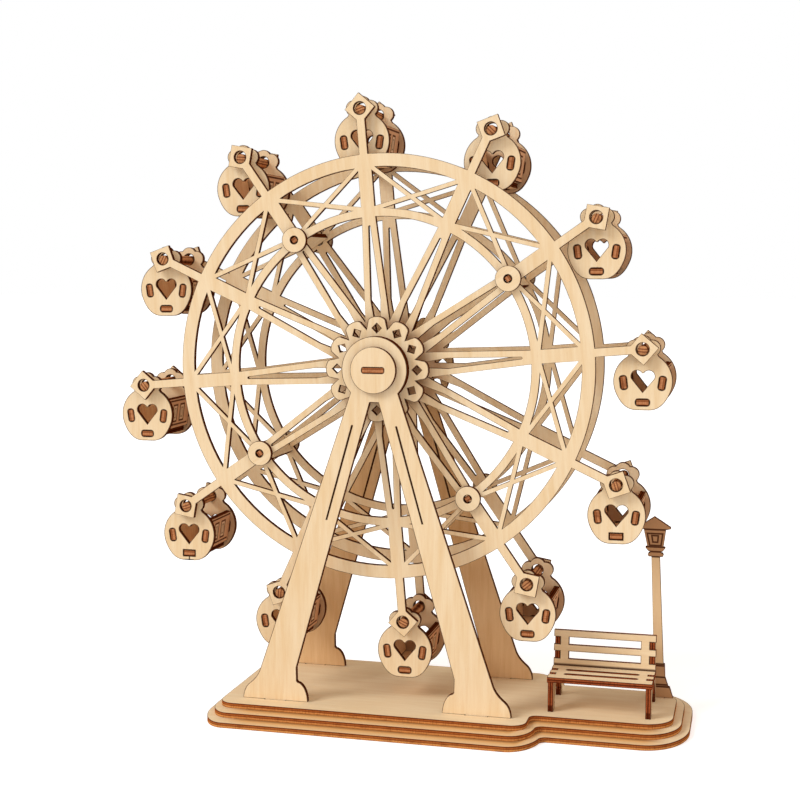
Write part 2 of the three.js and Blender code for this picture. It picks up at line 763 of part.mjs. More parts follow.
// Street lamp: one sheet cut to the silhouette of a lamp that leans a little, with a tab in the base
function lampOutline() {
  const collarTop = lanternBottomZ;
  const collarBottom = collarTop - collarHeight;
  const beadTop = collarBottom - waistHeight;
  const beadBottom = beadTop - beadHeight;
  const tab = lampTabWidth / 2;
  const right = [
    [tab, baseTop - ply], [tab, baseTop], [plinthFootHalfWidth, baseTop],
    [plinthStepHalfWidth + plinthStepOut, plinthStepZ], [plinthStepHalfWidth, plinthStepZ],
    [plinthTopHalfWidth, plinthWaistZ], [plinthTopHalfWidth, plinthTopZ], [postBottomHalfWidth, plinthTopZ],
    [postTopHalfWidth, beadBottom], [beadHalfWidth - beadHeight / 4, beadBottom],
    [beadHalfWidth, (beadTop + beadBottom) / 2],
    [beadHalfWidth - beadHeight / 4, beadTop], [waistHalfWidth, beadTop], [waistHalfWidth, collarBottom],
    [collarBottomHalfWidth, collarBottom], [collarTopHalfWidth, collarTop - waistHeight],
    [collarTopHalfWidth, collarTop],
    [lanternBottomHalfWidth, collarTop], [lanternTopHalfWidth, eaveZ], [eaveHalfWidth, eaveZ],
    [roofTipHalfWidth, roofTipZ - roofTipEdge], [roofTipHalfWidth, roofTipZ], [0, lampTop],
  ];
  const upright = [...right, ...mirror(right).slice(1)];
  const leanAt = (z) => Math.max(0, z - baseTop) * Math.tan(lampLeanAngle);
  return upright.map(([x, z]) => [x - leanAt(z), z]);
}

function addLamp(parent) {
  piece(parent, 'street_lamp', sheet(lampOutline()), paleSheet, [lampX, lampFrontY + ply, 0]);
}

const ferrisWheel = new THREE.Group();
addBase(ferrisWheel);
addFrames(ferrisWheel);
addAxle(ferrisWheel);
addHubStack(ferrisWheel, 'front', -1);
addHubStack(ferrisWheel, 'rear', 1);
addWheel(ferrisWheel);
addGondolas(ferrisWheel);
addBench(ferrisWheel);
addLamp(ferrisWheel);

export default ferrisWheel;
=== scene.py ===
import json
import math
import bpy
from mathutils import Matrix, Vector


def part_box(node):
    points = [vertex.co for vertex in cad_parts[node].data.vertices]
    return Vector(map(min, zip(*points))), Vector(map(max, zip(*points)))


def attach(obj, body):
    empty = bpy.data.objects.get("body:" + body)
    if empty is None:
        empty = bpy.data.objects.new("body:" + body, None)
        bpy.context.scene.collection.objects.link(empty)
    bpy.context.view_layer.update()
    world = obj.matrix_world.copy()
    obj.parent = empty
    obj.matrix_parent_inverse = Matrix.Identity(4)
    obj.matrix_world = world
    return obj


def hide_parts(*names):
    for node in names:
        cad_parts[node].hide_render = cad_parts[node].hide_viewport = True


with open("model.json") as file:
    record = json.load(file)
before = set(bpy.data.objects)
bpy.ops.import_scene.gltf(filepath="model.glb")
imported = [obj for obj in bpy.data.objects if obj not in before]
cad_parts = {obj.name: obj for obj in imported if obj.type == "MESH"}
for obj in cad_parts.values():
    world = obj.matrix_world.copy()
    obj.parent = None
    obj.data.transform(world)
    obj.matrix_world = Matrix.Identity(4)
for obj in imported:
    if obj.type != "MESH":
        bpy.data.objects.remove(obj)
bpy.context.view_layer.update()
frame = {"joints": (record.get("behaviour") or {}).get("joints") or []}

from types import SimpleNamespace

import bmesh
import bpy
from mathutils import Matrix, Vector

bl_info = {
    "name": "Plywood Ferris Wheel",
    "version": (1, 0, 0),
    "blender": (4, 5, 0),
    "location": "3D View > Sidebar > Ferris Wheel",
    "description": "Builds a ferris wheel model of laser-cut plywood, with its base, bench and street lamp",
    "category": "Object",
}

# One millimetre in metres, and in the centimetres that the finishes use
MM = 0.001
CM = 0.1

# The wheel's arms, counted clockwise from the top, and the four that have a plank
ARMS = 12
PLANK_ARMS = (2, 5, 8, 11)

FULL = 2 * math.pi
QUARTER = math.pi / 2
PITCH = FULL / ARMS

# How close points are welded, in millimetres, and where a mesh's shading breaks
WELD = 0.002
CREASE = math.radians(32)


def joint_point(name):
    """Where a joint of the frame turns at rest, in metres."""
    return next(Vector(j["pos_m"]) for j in frame["joints"] if j["name"] == name)


HUB = joint_point("wheel_spin")
PIVOTS = [joint_point(f"gondola_{k:02d}_swing") for k in range(1, ARMS + 1)]
FIRST_ARM = PIVOTS[0] - HUB
WHEEL_TURN = math.atan2(FIRST_ARM.x, FIRST_ARM.z)
BASE_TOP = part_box("base_top_plate")[1].z / MM


# Properties


def length(label, millimetres, note):
    """A size that is typed in millimetres and kept in metres."""
    return bpy.props.FloatProperty(name=label, description=note, default=millimetres * MM,
                                   unit="LENGTH", precision=5)


def angle(label, degrees, note):
    """An angle that is typed in degrees."""
    return bpy.props.FloatProperty(name=label, description=note, default=math.radians(degrees),
                                   subtype="ANGLE")


def linear(channel):
    """A colour channel from 0 to 255, as light."""
    share = channel / 255
    return share / 12.92 if share <= 0.04045 else ((share + 0.055) / 1.055) ** 2.4


def colour(label, rgb, note):
    """A colour that is typed from 0 to 255 as a picture shows it."""
    return bpy.props.FloatVectorProperty(name=label, description=note, subtype="COLOR", size=3,
                                         min=0, max=1, default=[linear(c) for c in rgb])


def amount(label, number, note):
    """A plain number."""
    return bpy.props.FloatProperty(name=label, description=note, default=number)


def own_properties(group):
    """The properties that a group adds to those of every group."""
    return [prop for prop in group.bl_rna.properties if prop.identifier not in ("rna_type", "name")]


def in_mm(group):
    """A group's values, with the lengths in millimetres."""
    values = {}
    for prop in own_properties(group):
        value = getattr(group, prop.identifier)
        values[prop.identifier] = value / MM if getattr(prop, "unit", "") == "LENGTH" else value
    return SimpleNamespace(**values)


def tones_of(group):
    """A group's colours as plain numbers."""
    tones = {prop.identifier: tuple(getattr(group, prop.identifier)) for prop in own_properties(group)}
    return SimpleNamespace(**tones)


class SheetSizes(bpy.types.PropertyGroup):
    """The plywood that every part is cut from."""

    ply: length("Thickness", 2, "Thickness of one sheet")
    gap: length("Slot gap", 0.15, "Gap round a tab in its slot")
    scorch: length("Scorch width", 0.3, "How far the cut browns the face beside it")


class BaseSizes(bpy.types.PropertyGroup):
    """The stepped base of three sheets."""

    left: length("Left reach", 61.3, "From the hub's line to the left end of the top sheet")
    right: length("Right reach", 113, "From the hub's line to the right end of the top sheet")
    shoulder: length("Shoulder", 60, "From the hub's line to where the base narrows")
    half_depth: length("Half depth", 36.5, "Half the depth of the top sheet's wide part")
    wing_half_depth: length("Wing half depth", 21.8, "Half the depth of the top sheet's wing")
    corner: length("Corner radius", 6, "Corner radius of the top sheet")
    neck: length("Neck radius", 3, "Inner corner radius where the base narrows")
    wing_corner: length("Wing corner radius", 11, "Corner radius of the wing")
    grow_left: length("Step left", 2.2, "How far each lower sheet reaches past the one above at the left")
    grow_right: length("Step right", 3.1, "The same at the right")
    grow_side: length("Step side", 6.3, "The same at the front and the back")


class StandSizes(bpy.types.PropertyGroup):
    """The two A-frames and what they carry on the axle."""

    half_gap: length("Half gap", 25.8, "From the middle to the inner face of each A-frame")
    head_radius: length("Head radius", 12.8, "Radius of an A-frame's head and of the disc behind it")
    neck: length("Neck half width", 9.3, "Half the width where the legs leave the head")
    crotch: length("Crotch half width", 1.8, "Half the gap between the legs at its top")
    crotch_drop: length("Crotch drop", 12.4, "From the hub down to the top of the legs' gap")
    foot_outer: length("Foot outer", 53.6, "From the middle to a foot's outer end")
    foot_inner: length("Foot inner", 27, "From the middle to a foot's inner end")
    ankle_outer: length("Ankle outer", 48.2, "From the middle to a leg's outer side above the foot")
    ankle_inner: length("Ankle inner", 31.6, "From the middle to a leg's inner side above the foot")
    ankle: length("Ankle fillet", 1.3, "Radius of the hollow curve at a leg's inner side, over its foot")
    outer_ankle: length("Outer ankle", 5, "How far the hollow curve runs up a leg's outer side")
    outer_rise: length("Outer foot rise", 7, "Height of the foot's outer curve")
    inner_rise: length("Inner foot rise", 7.8, "Height of the foot's inner curve")
    calf_rise: length("Calf rise", 13.5, "Height where the leg's inner side straightens")
    slit: length("Slit width", 0.45, "Width of the slit along each leg")
    slit_top: length("Slit top", 21.5, "From the hub down to the slit's top")
    slit_bottom: length("Slit bottom", 58.3, "From the hub down to the slit's bottom")
    tab: length("Foot tab", 8.6, "Width of the tab under each foot")
    axle: length("Axle width", 8.4, "Width of each of the axle's blades")
    cap_radius: length("Cap radius", 8.9, "Radius of the axle's end caps")
    collar_radius: length("Collar radius", 8, "Radius of the collars beside the wheel")
    collar_inner: length("Collar start", 17, "From the middle to the collar's inner face")
    petal_tip: length("Petal tip radius", 20.3, "Radius of the rosette's petal tips")
    petal_shoulder: length("Petal shoulder radius", 18.9, "Radius of a petal's two shoulders")
    petal_valley: length("Petal valley radius", 15.6, "Radius of the valleys between petals")
    window_radius: length("Window radius", 15.8, "Radius of the circle of diamond windows")
    window: length("Window half width", 1.85, "Half the diagonal of a diamond window")


class WheelSizes(bpy.types.PropertyGroup):
    """The two wheel plates and the planks between them."""

    half_gap: length("Half gap", 14.7, "From the middle to the inner face of each plate")
    pivot_radius: length("Pivot radius", 100, "Radius of the circle of gondola pins")
    outer: length("Outer ring", 82.5, "Outer radius of the outer ring")
    outer_inside: length("Outer ring inside", 77.4, "Inner radius of the outer ring")
    inner: length("Inner ring", 61.6, "Outer radius of the inner ring")
    inner_inside: length("Inner ring inside", 58.4, "Inner radius of the inner ring")
    spoke: length("Spoke half width", 2.7, "Half the width of a spoke")
    arm: length("Arm half width", 1.65, "Half the width of an arm outside the ring")
    diamond: length("Arm end half width", 5.95, "Half the diagonal of an arm's square end")
    brace: length("Brace width", 1.7, "Width of the crossed braces")
    valley: length("Fork valley radius", 18.7, "Radius of the valleys between spokes at the hub")
    slot_start: length("Slot start radius", 14.3, "Where a spoke's slit starts")
    slot_start_half: length("Slot start half width", 0.8, "Half the slit's width at its start")
    slot_elbow: length("Slot elbow radius", 26.5, "Where a spoke's slit is widest")
    slot_elbow_half: length("Slot elbow half width", 1.95, "Half the slit's greatest width")
    slot_end: length("Slot end radius", 54.8, "Where a spoke's slit ends")
    slot_end_half: length("Slot end half width", 0.35, "Half the slit's width at its end")
    hub_hole: length("Hub hole radius", 4.57, "Radius of the hole round the axle")
    pin_hole: length("Pin hole radius", 2.5, "Radius of the hole round a gondola's pin")
    plank_radius: length("Plank radius", 60.4, "Radius of the circle of planks")
    plank: length("Plank width", 8, "Width of a plank")
    peg: length("Peg width", 2, "Width of a plank's peg")
    peg_hole: length("Peg hole radius", 1.62, "Radius of the hole round a peg")
    washer: length("Washer radius", 4.9, "Radius of the washers over the pegs")


class GondolaSizes(bpy.types.PropertyGroup):
    """One gondola, measured from its pin."""

    half_depth: length("Half depth", 13.3, "From the middle to the outer face of an end wall")
    pin: length("Pin radius", 1.88, "Radius of the pin")
    pin_hole: length("Pin hole radius", 2.35, "Radius of the hole round the pin")
    pin_half: length("Pin half length", 16, "Half the pin's length")
    pin_turn: angle("Pin turn", 68, "How far each pin's layers are turned from the one before")
    body: length("Body radius", 10.9, "Radius of an end wall's round body")
    body_drop: length("Body drop", 12.1, "From the pin down to the middle of the body")
    bottom: length("Bottom drop", 22.9, "From the pin down to the bottom edge")
    hip_drop: length("Hip drop", 16.2, "From the pin down to where the body leaves its circle")
    heel_pull: length("Heel pull", 7.2, "How far the lower corners bulge")
    bottom_half: length("Bottom half width", 2.4, "Half the width of the straight bottom edge")
    neck_half: length("Neck half width", 5.8, "Half the width where the lobes meet the body")
    lobe: length("Lobe radius", 3.1, "Radius of the three lobes round the pin")
    lobe_spread: length("Lobe spread", 3.3, "From the pin to the middle of a side lobe")
    lobe_rise: length("Lobe rise", 0.3, "How high the side lobes' middles are")
    top_rise: length("Top lobe rise", 1.9, "How high the top lobe's middle is")
    heart: length("Heart width", 8.7, "Width of the heart-shaped opening")
    heart_notch: length("Heart notch drop", 9.1, "From the pin down to the heart's notch")
    heart_tip: length("Heart tip drop", 16.3, "From the pin down to the heart's tip")
    heart_lobe: length("Heart lobe drop", 10.2, "From the pin down to the middles of its lobes")
    panel_offset: length("Panel offset", 7.1, "From the middle to each side panel")
    panel_drop: length("Panel drop", 12.7, "From the pin down to the middle of a panel's tab")
    panel_top: length("Panel top drop", 6, "From the pin down to a panel's top edge")
    panel_bottom: length("Panel bottom drop", 18.6, "From the pin down to a panel's bottom edge")
    panel_lean: angle("Panel lean", 8, "How far the side panels lean outwards")
    floor_drop: length("Floor drop", 20, "From the pin down to the floor panel")
    floor: length("Floor width", 11.4, "Width of the floor panel")
    tab: length("Tab width", 4.5, "Width of the panels' tabs in the end walls")
    slot: length("Slot length", 5.3, "Length of the rounded slots in the end walls")
    slot_width: length("Slot width", 2.7, "Width of the rounded slots in the end walls")


class BenchSizes(bpy.types.PropertyGroup):
    """The park bench."""

    centre: length("Centre", 85.3, "From the hub's line to the middle of the bench")
    front: length("Front", -15.5, "Place of the seat's front edge")
    width: length("Width", 39.8, "Length of the seat and the back")
    depth: length("Depth", 27.1, "Depth of the side frames")
    inset: length("Inset", 0.4, "How far the side frames stand in from the seat's ends")
    seat_top: length("Seat top", 19.5, "Height of the seat's top face")
    seat_depth: length("Seat depth", 18.2, "Depth of the seat")
    slat_gap: length("Slat gap", 2, "Width of the slots in the seat")
    end_margin: length("End margin", 5.9, "From a slot's end to the seat's end")
    back_height: length("Back height", 13.8, "Height of the back")
    back_foot: length("Back foot drop", 1.6, "How far the back reaches below the seat's top face")
    back_lean: angle("Back lean", 6, "How far the back leans")
    row: length("Row height", 2.9, "Height of the openings in the back")
    row_low: length("Lower row", 2.5, "From the back's foot to its lower opening")
    row_high: length("Upper row", 8.1, "From the back's foot to its upper opening")
    notch: length("Notch depth", 2.5, "Depth of the notches in the ends")
    upright: length("Upright depth", 3.6, "Depth of the uprights at their foot")
    upright_short: length("Upright inset", 1, "How far the uprights stop below the back's top")
    foot_height: length("Foot height", 2.6, "Height of the foot pads")
    foot: length("Foot depth", 5.2, "Depth of the front foot pads")
    heel: length("Heel depth", 4.1, "Depth of the rear foot pads")
    foot_out: length("Foot step", 1.1, "How far the pads stand out past the legs")
    arch: length("Arch rise", 7.6, "Height of the arch between the legs")
    end_play: length("End play", 0.3, "Gap between the seat and the back")


class LampSizes(bpy.types.PropertyGroup):
    """The street lamp, half widths and heights from its foot to its tip."""

    centre: length("Centre", 106.1, "From the hub's line to the middle of the lamp's foot")
    front: length("Front", 14.5, "Place of the lamp's front face")
    lean: angle("Lean", 2.5, "How far the lamp leans to the left")
    top: length("Top", 78.4, "Height of the roof's tip")
    tip_half: length("Roof half width", 6.2, "Half the width of the roof")
    tip_z: length("Roof height", 74.3, "Height of the roof's corners")
    tip_edge: length("Roof edge", 0.6, "Height of the roof's blunt edge")
    eave_half: length("Eave half width", 4.5, "Half the width under the roof")
    eave_z: length("Eave height", 73.3, "Height of the lantern's top")
    lantern_top: length("Lantern top half width", 4.3, "Half the lantern's width at its top")
    lantern_bottom: length("Lantern bottom half width", 3.1, "Half the lantern's width at its bottom")
    lantern_z: length("Lantern bottom", 66.4, "Height of the lantern's bottom")
    collar_top: length("Collar half width", 3.8, "Half the width of the collar under the lantern")
    collar_bottom: length("Collar bottom half width", 2.6, "Half the width at the collar's bottom")
    collar: length("Collar height", 1.9, "Height of the collar")
    bead_half: length("Bead half width", 3.1, "Half the width of the bead under the collar")
    bead: length("Bead height", 1.5, "Height of the bead")
    waist_half: length("Waist half width", 2.2, "Half the width between collar and bead")
    waist: length("Waist height", 0.5, "Height between collar and bead")
    post_top: length("Post top half width", 1.62, "Half the post's width at its top")
    post_bottom: length("Post bottom half width", 1.86, "Half the post's width at its bottom")
    plinth_z: length("Plinth top", 19.5, "Height of the plinth's top")
    plinth_half: length("Plinth half width", 2.4, "Half the width of the plinth's neck")
    flare_z: length("Flare height", 14.2, "Height where the plinth starts to widen")
    step_z: length("Step height", 10.4, "Height of the step in the plinth")
    step_half: length("Step half width", 3.5, "Half the width above the step")
    step_out: length("Step out", 0.5, "How far the step stands out")
    foot_half: length("Foot half width", 5.2, "Half the width of the foot")
    tab: length("Tab width", 4, "Width of the tab under the foot")


class WoodColours(bpy.types.PropertyGroup):
    """Colours of the bare and the browned wood, and darker copies and tints that paint shade."""

    pale: colour("Pale", (247, 224, 188), "Lightest tone of the sheets' faces")
    warm: colour("Warm", (236, 204, 158), "Darkest tone of the sheets' faces")
    pore: colour("Pores", (214, 168, 116), "Short fine strokes along the grain")
    # Painted shade: darker, warmer copies of the face tones, for the rear A-frame, the cabins' rear walls
    # and insides, and the lamp
    rear_pale: colour("Rear pale", (242, 206, 160), "Lightest tone of the rear A-frame")
    rear_warm: colour("Rear warm", (226, 184, 134), "Darkest tone of the rear A-frame")
    bench_pale: colour("Bench pale", (246, 222, 185), "Lightest tone of the bench")
    bench_warm: colour("Bench warm", (233, 200, 155), "Darkest tone of the bench")
    base_pale: colour("Base pale", (242, 219, 182), "Lightest tone of the base sheets' faces")
    base_warm: colour("Base warm", (234, 205, 163), "Darkest tone of the base sheets' faces")
    scorch: colour("Scorch", (64, 22, 6), "Browned rim of a face beside a cut")
    edge_pale: colour("Edge pale", (122, 58, 24), "Lightest layers of a cut edge")
    edge_mid: colour("Edge middle", (82, 34, 12), "Middle tone of a cut edge")
    edge_dark: colour("Edge dark", (44, 14, 4), "Charred parts of a cut edge")
    end_pale: colour("Tab end pale", (202, 136, 92), "Lightest layers of a tab's end")
    end_mid: colour("Tab end middle", (166, 102, 62), "Middle tone of a tab's end")
    end_dark: colour("Tab end dark", (104, 50, 24), "Dark layers of a tab's end")
    bench_edge_pale: colour("Bench edge pale", (184, 100, 58), "Lightest layers of the bench's edges")
    bench_edge_mid: colour("Bench edge middle", (126, 58, 30), "Middle tone of the bench's edges")
    bench_edge_dark: colour("Bench edge dark", (60, 18, 8), "Charred parts of the bench's edges")
    pin_pale: colour("Pin end pale", (222, 160, 106), "Lightest layers of a pin's or the axle's end")
    pin_dark: colour("Pin end dark", (92, 44, 20), "Dark layer of a pin's or the axle's end")
    base_edge_pale: colour("Base edge pale", (222, 152, 84), "Lightest layers of the base's edges")
    base_edge_mid: colour("Base edge middle", (178, 102, 50), "Middle tone of the base's edges")
    base_edge_dark: colour("Base edge dark", (104, 42, 16), "Charred layer of the base's edges")
    # Painted shade: the golden tint and the dark line on the lower sheets' treads
    tread: colour("Tread", (230, 172, 104), "Smoked gold of the lower base sheets beside the one above")
    # Painted shade round the wheel plates' hubs and on the cabins' rear walls; smoke with painted shade on
    # the bench's side frames
    soot_and_shade: colour("Smoke", (140, 90, 54), "Smoked wood where many cuts lie close together")
    # Brown tint over the lamp's lantern and plinth
    lamp: colour("Lamp engraving", (186, 138, 98), "Rastered brown of the lantern and the plinth")
    panel: colour("Panel engraving", (216, 160, 118), "Rastered brown of the cabins' side panels")
    # Painted shade: the brown of the panels' inner faces and of the floor inside a cabin
    inside: colour("Cabin inside", (226, 176, 132), "Smoked brown of the panels inside a cabin")


class StageSettings(bpy.types.PropertyGroup):
    """Floor, light and camera."""

    floor: colour("Floor", (238, 238, 238), "Colour of the floor")
    lens: amount("Lens", 65.373, "Focal length of the camera, in millimetres")
    key: amount("Key light", 1.61, "Power of the light at the upper left")
    fill: amount("Fill light", 0.2, "Power of the light at the right")
    sky: amount("Room light", 0.68, "Strength of the light all round")


# Drawing and cutting sheets


class Pen:
    """Draws one outline in millimetres by extruding and spinning its last corner."""

    def __init__(self, bm, x, y):
        self.bm = bm
        self.first = self.last = bmesh.ops.create_vert(bm, co=(x, y, 0))["vert"][0]
        self.verts = [self.first]

    def _new(self, operator, **settings):
        before = set(self.bm.verts)
        result = operator(self.bm, **settings)
        self.verts += [v for v in self.bm.verts if v not in before]
        return result

    def line(self, *corners):
        """Straight runs to each corner in turn."""
        for x, y in corners:
            made = self._new(bmesh.ops.extrude_vert_indiv, verts=[self.last])
            self.last = made["verts"][0]
            self.last.co = (x, y, 0)
        return self

    def arc(self, x, y, turn, steps):
        """An arc round a centre, counter-clockwise where the turn is positive."""
        made = self._new(bmesh.ops.spin, geom=[self.last], cent=(x, y, 0), axis=(0, 0, 1),
                         angle=turn, steps=steps)
        self.last = next(g for g in made["geom_last"] if isinstance(g, bmesh.types.BMVert))
        return self

    def corner(self, x, y, width, height, start, steps, end=None):
        """Part of an ellipse round a centre, counter-clockwise: a quarter where no end angle is given."""
        turn = QUARTER if end is None else end - start
        for k in range(1, steps + 1):
            a = start + turn * k / steps
            self.line((x + width * math.cos(a), y + height * math.sin(a)))
        return self

    def edges(self):
        return list({e for v in self.verts for e in v.link_edges})

    def mirror(self, axis="X"):
        """Adds the outline's mirror image, welded to it where they meet."""
        self._new(bmesh.ops.mirror, geom=self.verts + self.edges(), axis=axis, merge_dist=WELD / 2)
        self.verts = [v for v in self.verts if v.is_valid]
        return self

    def close(self):
        self.bm.edges.new((self.last, self.first))
        return self

    def turn(self, angle):
        """Turns the outline clockwise round the sheet's origin."""
        bmesh.ops.rotate(self.bm, verts=self.verts, matrix=Matrix.Rotation(-angle, 3, "Z"))
        return self

    def move(self, x, y):
        bmesh.ops.translate(self.bm, verts=self.verts, vec=(x, y, 0))
        return self


# Where a piece's finishes stand in its list: those of a plain sheet, then those of a cabin
FACE, EDGE, END, PANEL, INSIDE, REAR = range(6)


def is_face(face):
    return face.material_index == FACE


class Sheet:
    """One plywood part: outlines in its own plane, then a thickness and a place."""

    def __init__(self, thickness):
        self.bm = bmesh.new()
        self.thickness = thickness

    def pen(self, x, y):
        return Pen(self.bm, x, y)

    def circle(self, radius, x=0.0, y=0.0, segments=32):
        bmesh.ops.create_circle(self.bm, radius=radius, segments=segments,
                                matrix=Matrix.Translation((x, y, 0)))

    def box(self, width, height, x=0.0, y=0.0):
        """A square-cornered outline round a centre."""
        w, h = width / 2, height / 2
        return self.pen(-w, -h).line((w, -h), (w, h), (-w, h)).close().move(x, y)

    def pill(self, width, height, radius, x=0.0, y=0.0, steps=4):
        """A rectangle with round corners."""
        w, h = width / 2 - radius, height / 2 - radius
        pen = self.pen(w + radius, -h).line((w + radius, h)).arc(w, h, QUARTER, steps)
        pen.line((-w, h + radius)).arc(-w, h, QUARTER, steps)
        pen.line((-w - radius, -h)).arc(-w, -h, QUARTER, steps)
        pen.line((w, -h - radius)).arc(w, -h, QUARTER, steps)
        return pen.move(x, y)

    def repeat(self, times):
        """Turns copies of all that is drawn round the sheet's origin."""
        geom = self.bm.verts[:] + self.bm.edges[:]
        bmesh.ops.spin(self.bm, geom=geom, cent=(0, 0, 0), axis=(0, 0, 1), use_duplicate=True,
                       angle=FULL * (times - 1) / times, steps=times - 1)

    def cut(self, scorch, grain=0.0):
        """Fills the outlines, rims the faces with a scorched strip and gives the sheet its thickness."""
        bm = self.bm
        bmesh.ops.remove_doubles(bm, verts=bm.verts, dist=WELD)
        bmesh.ops.triangle_fill(bm, use_beauty=True, edges=bm.edges)
        if not bm.faces:
            raise RuntimeError("an outline of a sheet isn't closed")
        bmesh.ops.inset_region(bm, faces=bm.faces, thickness=scorch, use_boundary=True)
        burn = bm.verts.layers.float.new("scorch")
        for v in bm.verts:
            v[burn] = 1.0 if v.is_boundary else 0.0
        made = bmesh.ops.extrude_face_region(bm, geom=bm.faces[:])
        far = [g for g in made["geom"] if isinstance(g, bmesh.types.BMVert)]
        bmesh.ops.translate(bm, verts=far, vec=(0, 0, self.thickness))
        bmesh.ops.recalc_face_normals(bm, faces=bm.faces)
        self.tint(EDGE).tint(FACE, lambda face: abs(face.normal.z) > 0.5)
        self.draft(Matrix.Rotation(grain, 3, "Z"))
        return self

    def tint(self, slot, chosen=lambda face: True):
        """Gives the chosen faces one of the piece's finishes."""
        for face in self.bm.faces:
            if chosen(face):
                face.material_index = slot
        return self

    def tint_ends(self, axis, reach):
        """Gives the ends of the tabs, this far from the sheet's middle, their own finish."""
        return self.tint(END, lambda face: abs(face.calc_center_median()[axis]) > reach - WELD
                         and abs(face.normal[axis]) > 0.9)

    def draft(self, turn):
        """Keeps where each point lies on the flat sheet, in centimetres, for the grain and the layers."""
        plan = self.bm.verts.layers.float_vector.new("plan")
        for v in self.bm.verts:
            v[plan] = turn @ v.co * CM

    def place(self, matrix):
        bmesh.ops.transform(self.bm, matrix=matrix, verts=self.bm.verts)
        return self


def facing_front(x=0.0, back=0.0, z=0.0):
    """Stands a sheet up to face the front: its depth runs from back towards the front."""
    return Matrix.Translation((x, back, z)) @ Matrix.Rotation(QUARTER, 4, "X")


def facing_side(x=0.0, y=0.0, z=0.0):
    """Stands a sheet up along the axle: its depth runs to the right."""
    basis = Matrix(((0, 0, 1, 0), (1, 0, 0, 0), (0, 1, 0, 0), (0, 0, 0, 1)))
    return Matrix.Translation((x, y, z)) @ basis


def lying(x=0.0, y=0.0, z=0.0):
    return Matrix.Translation((x, y, z))


def batch_of(name):
    """A number from 0 to 1 that is a piece's own, so that no two sheets share their grain."""
    total = sum((k + 3) * ord(letter) for k, letter in enumerate(name))
    return (total * 0.618034) % 1.0


def finish_mesh(name, sheets):
    """One mesh of the given sheets, from millimetres to metres, smooth but for its edges."""
    whole = bmesh.new()
    part = bpy.data.meshes.new("part")
    for sheet in sheets:
        sheet.bm.to_mesh(part)
        whole.from_mesh(part)
        sheet.bm.free()
    bmesh.ops.scale(whole, vec=(MM, MM, MM), verts=whole.verts)
    batch = whole.verts.layers.float.new("batch")
    for v in whole.verts:
        v[batch] = batch_of(name)
    bpy.data.meshes.remove(part)
    mesh = bpy.data.meshes.new(name)
    whole.to_mesh(mesh)
    whole.free()
    for polygon in mesh.polygons:
        polygon.use_smooth = True
    mesh.set_sharp_from_angle(angle=CREASE)
    return mesh


def add_piece(node, body, sheets, finishes):
    """Makes the sheets one object in place of a node of the frame, on its body."""
    name = f"ply_{node}"
    mesh = finish_mesh(name, sheets)
    for finish in finishes:
        mesh.materials.append(finish)
    piece = bpy.data.objects.new(name, mesh)
    bpy.context.scene.collection.objects.link(piece)
    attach(piece, body)
    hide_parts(node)


# Finishes


class Value:
    """A shader value. Python's own operators on it add Math nodes."""

    def __init__(self, finish, socket):
        self.finish = finish
        self.socket = socket

    def math(self, operation, *others):
        return self.finish.node("Math", {"operation": operation}, [self, *others])

    def __add__(self, other):
        return self.math("ADD", other)

    def __sub__(self, other):
        return self.math("SUBTRACT", other)

    def __rsub__(self, other):
        return self.finish.node("Math", {"operation": "SUBTRACT"}, [other, self])

    def __mul__(self, other):
        return self.math("MULTIPLY", other)

    def __truediv__(self, other):
        return self.math("DIVIDE", other)

    def __abs__(self):
        return self.math("ABSOLUTE")

    __radd__ = __add__
    __rmul__ = __mul__

    def least(self, other):
        return self.math("MINIMUM", other)

    def most(self, other):
        return self.math("MAXIMUM", other)

    def ramp(self, low, high, to_low=0.0, to_high=1.0):
        """Runs smoothly between two results as the value goes from low to high."""
        settings = {"interpolation_type": "SMOOTHSTEP"}
        return self.finish.node("MapRange", settings, [self, low, high, to_low, to_high])


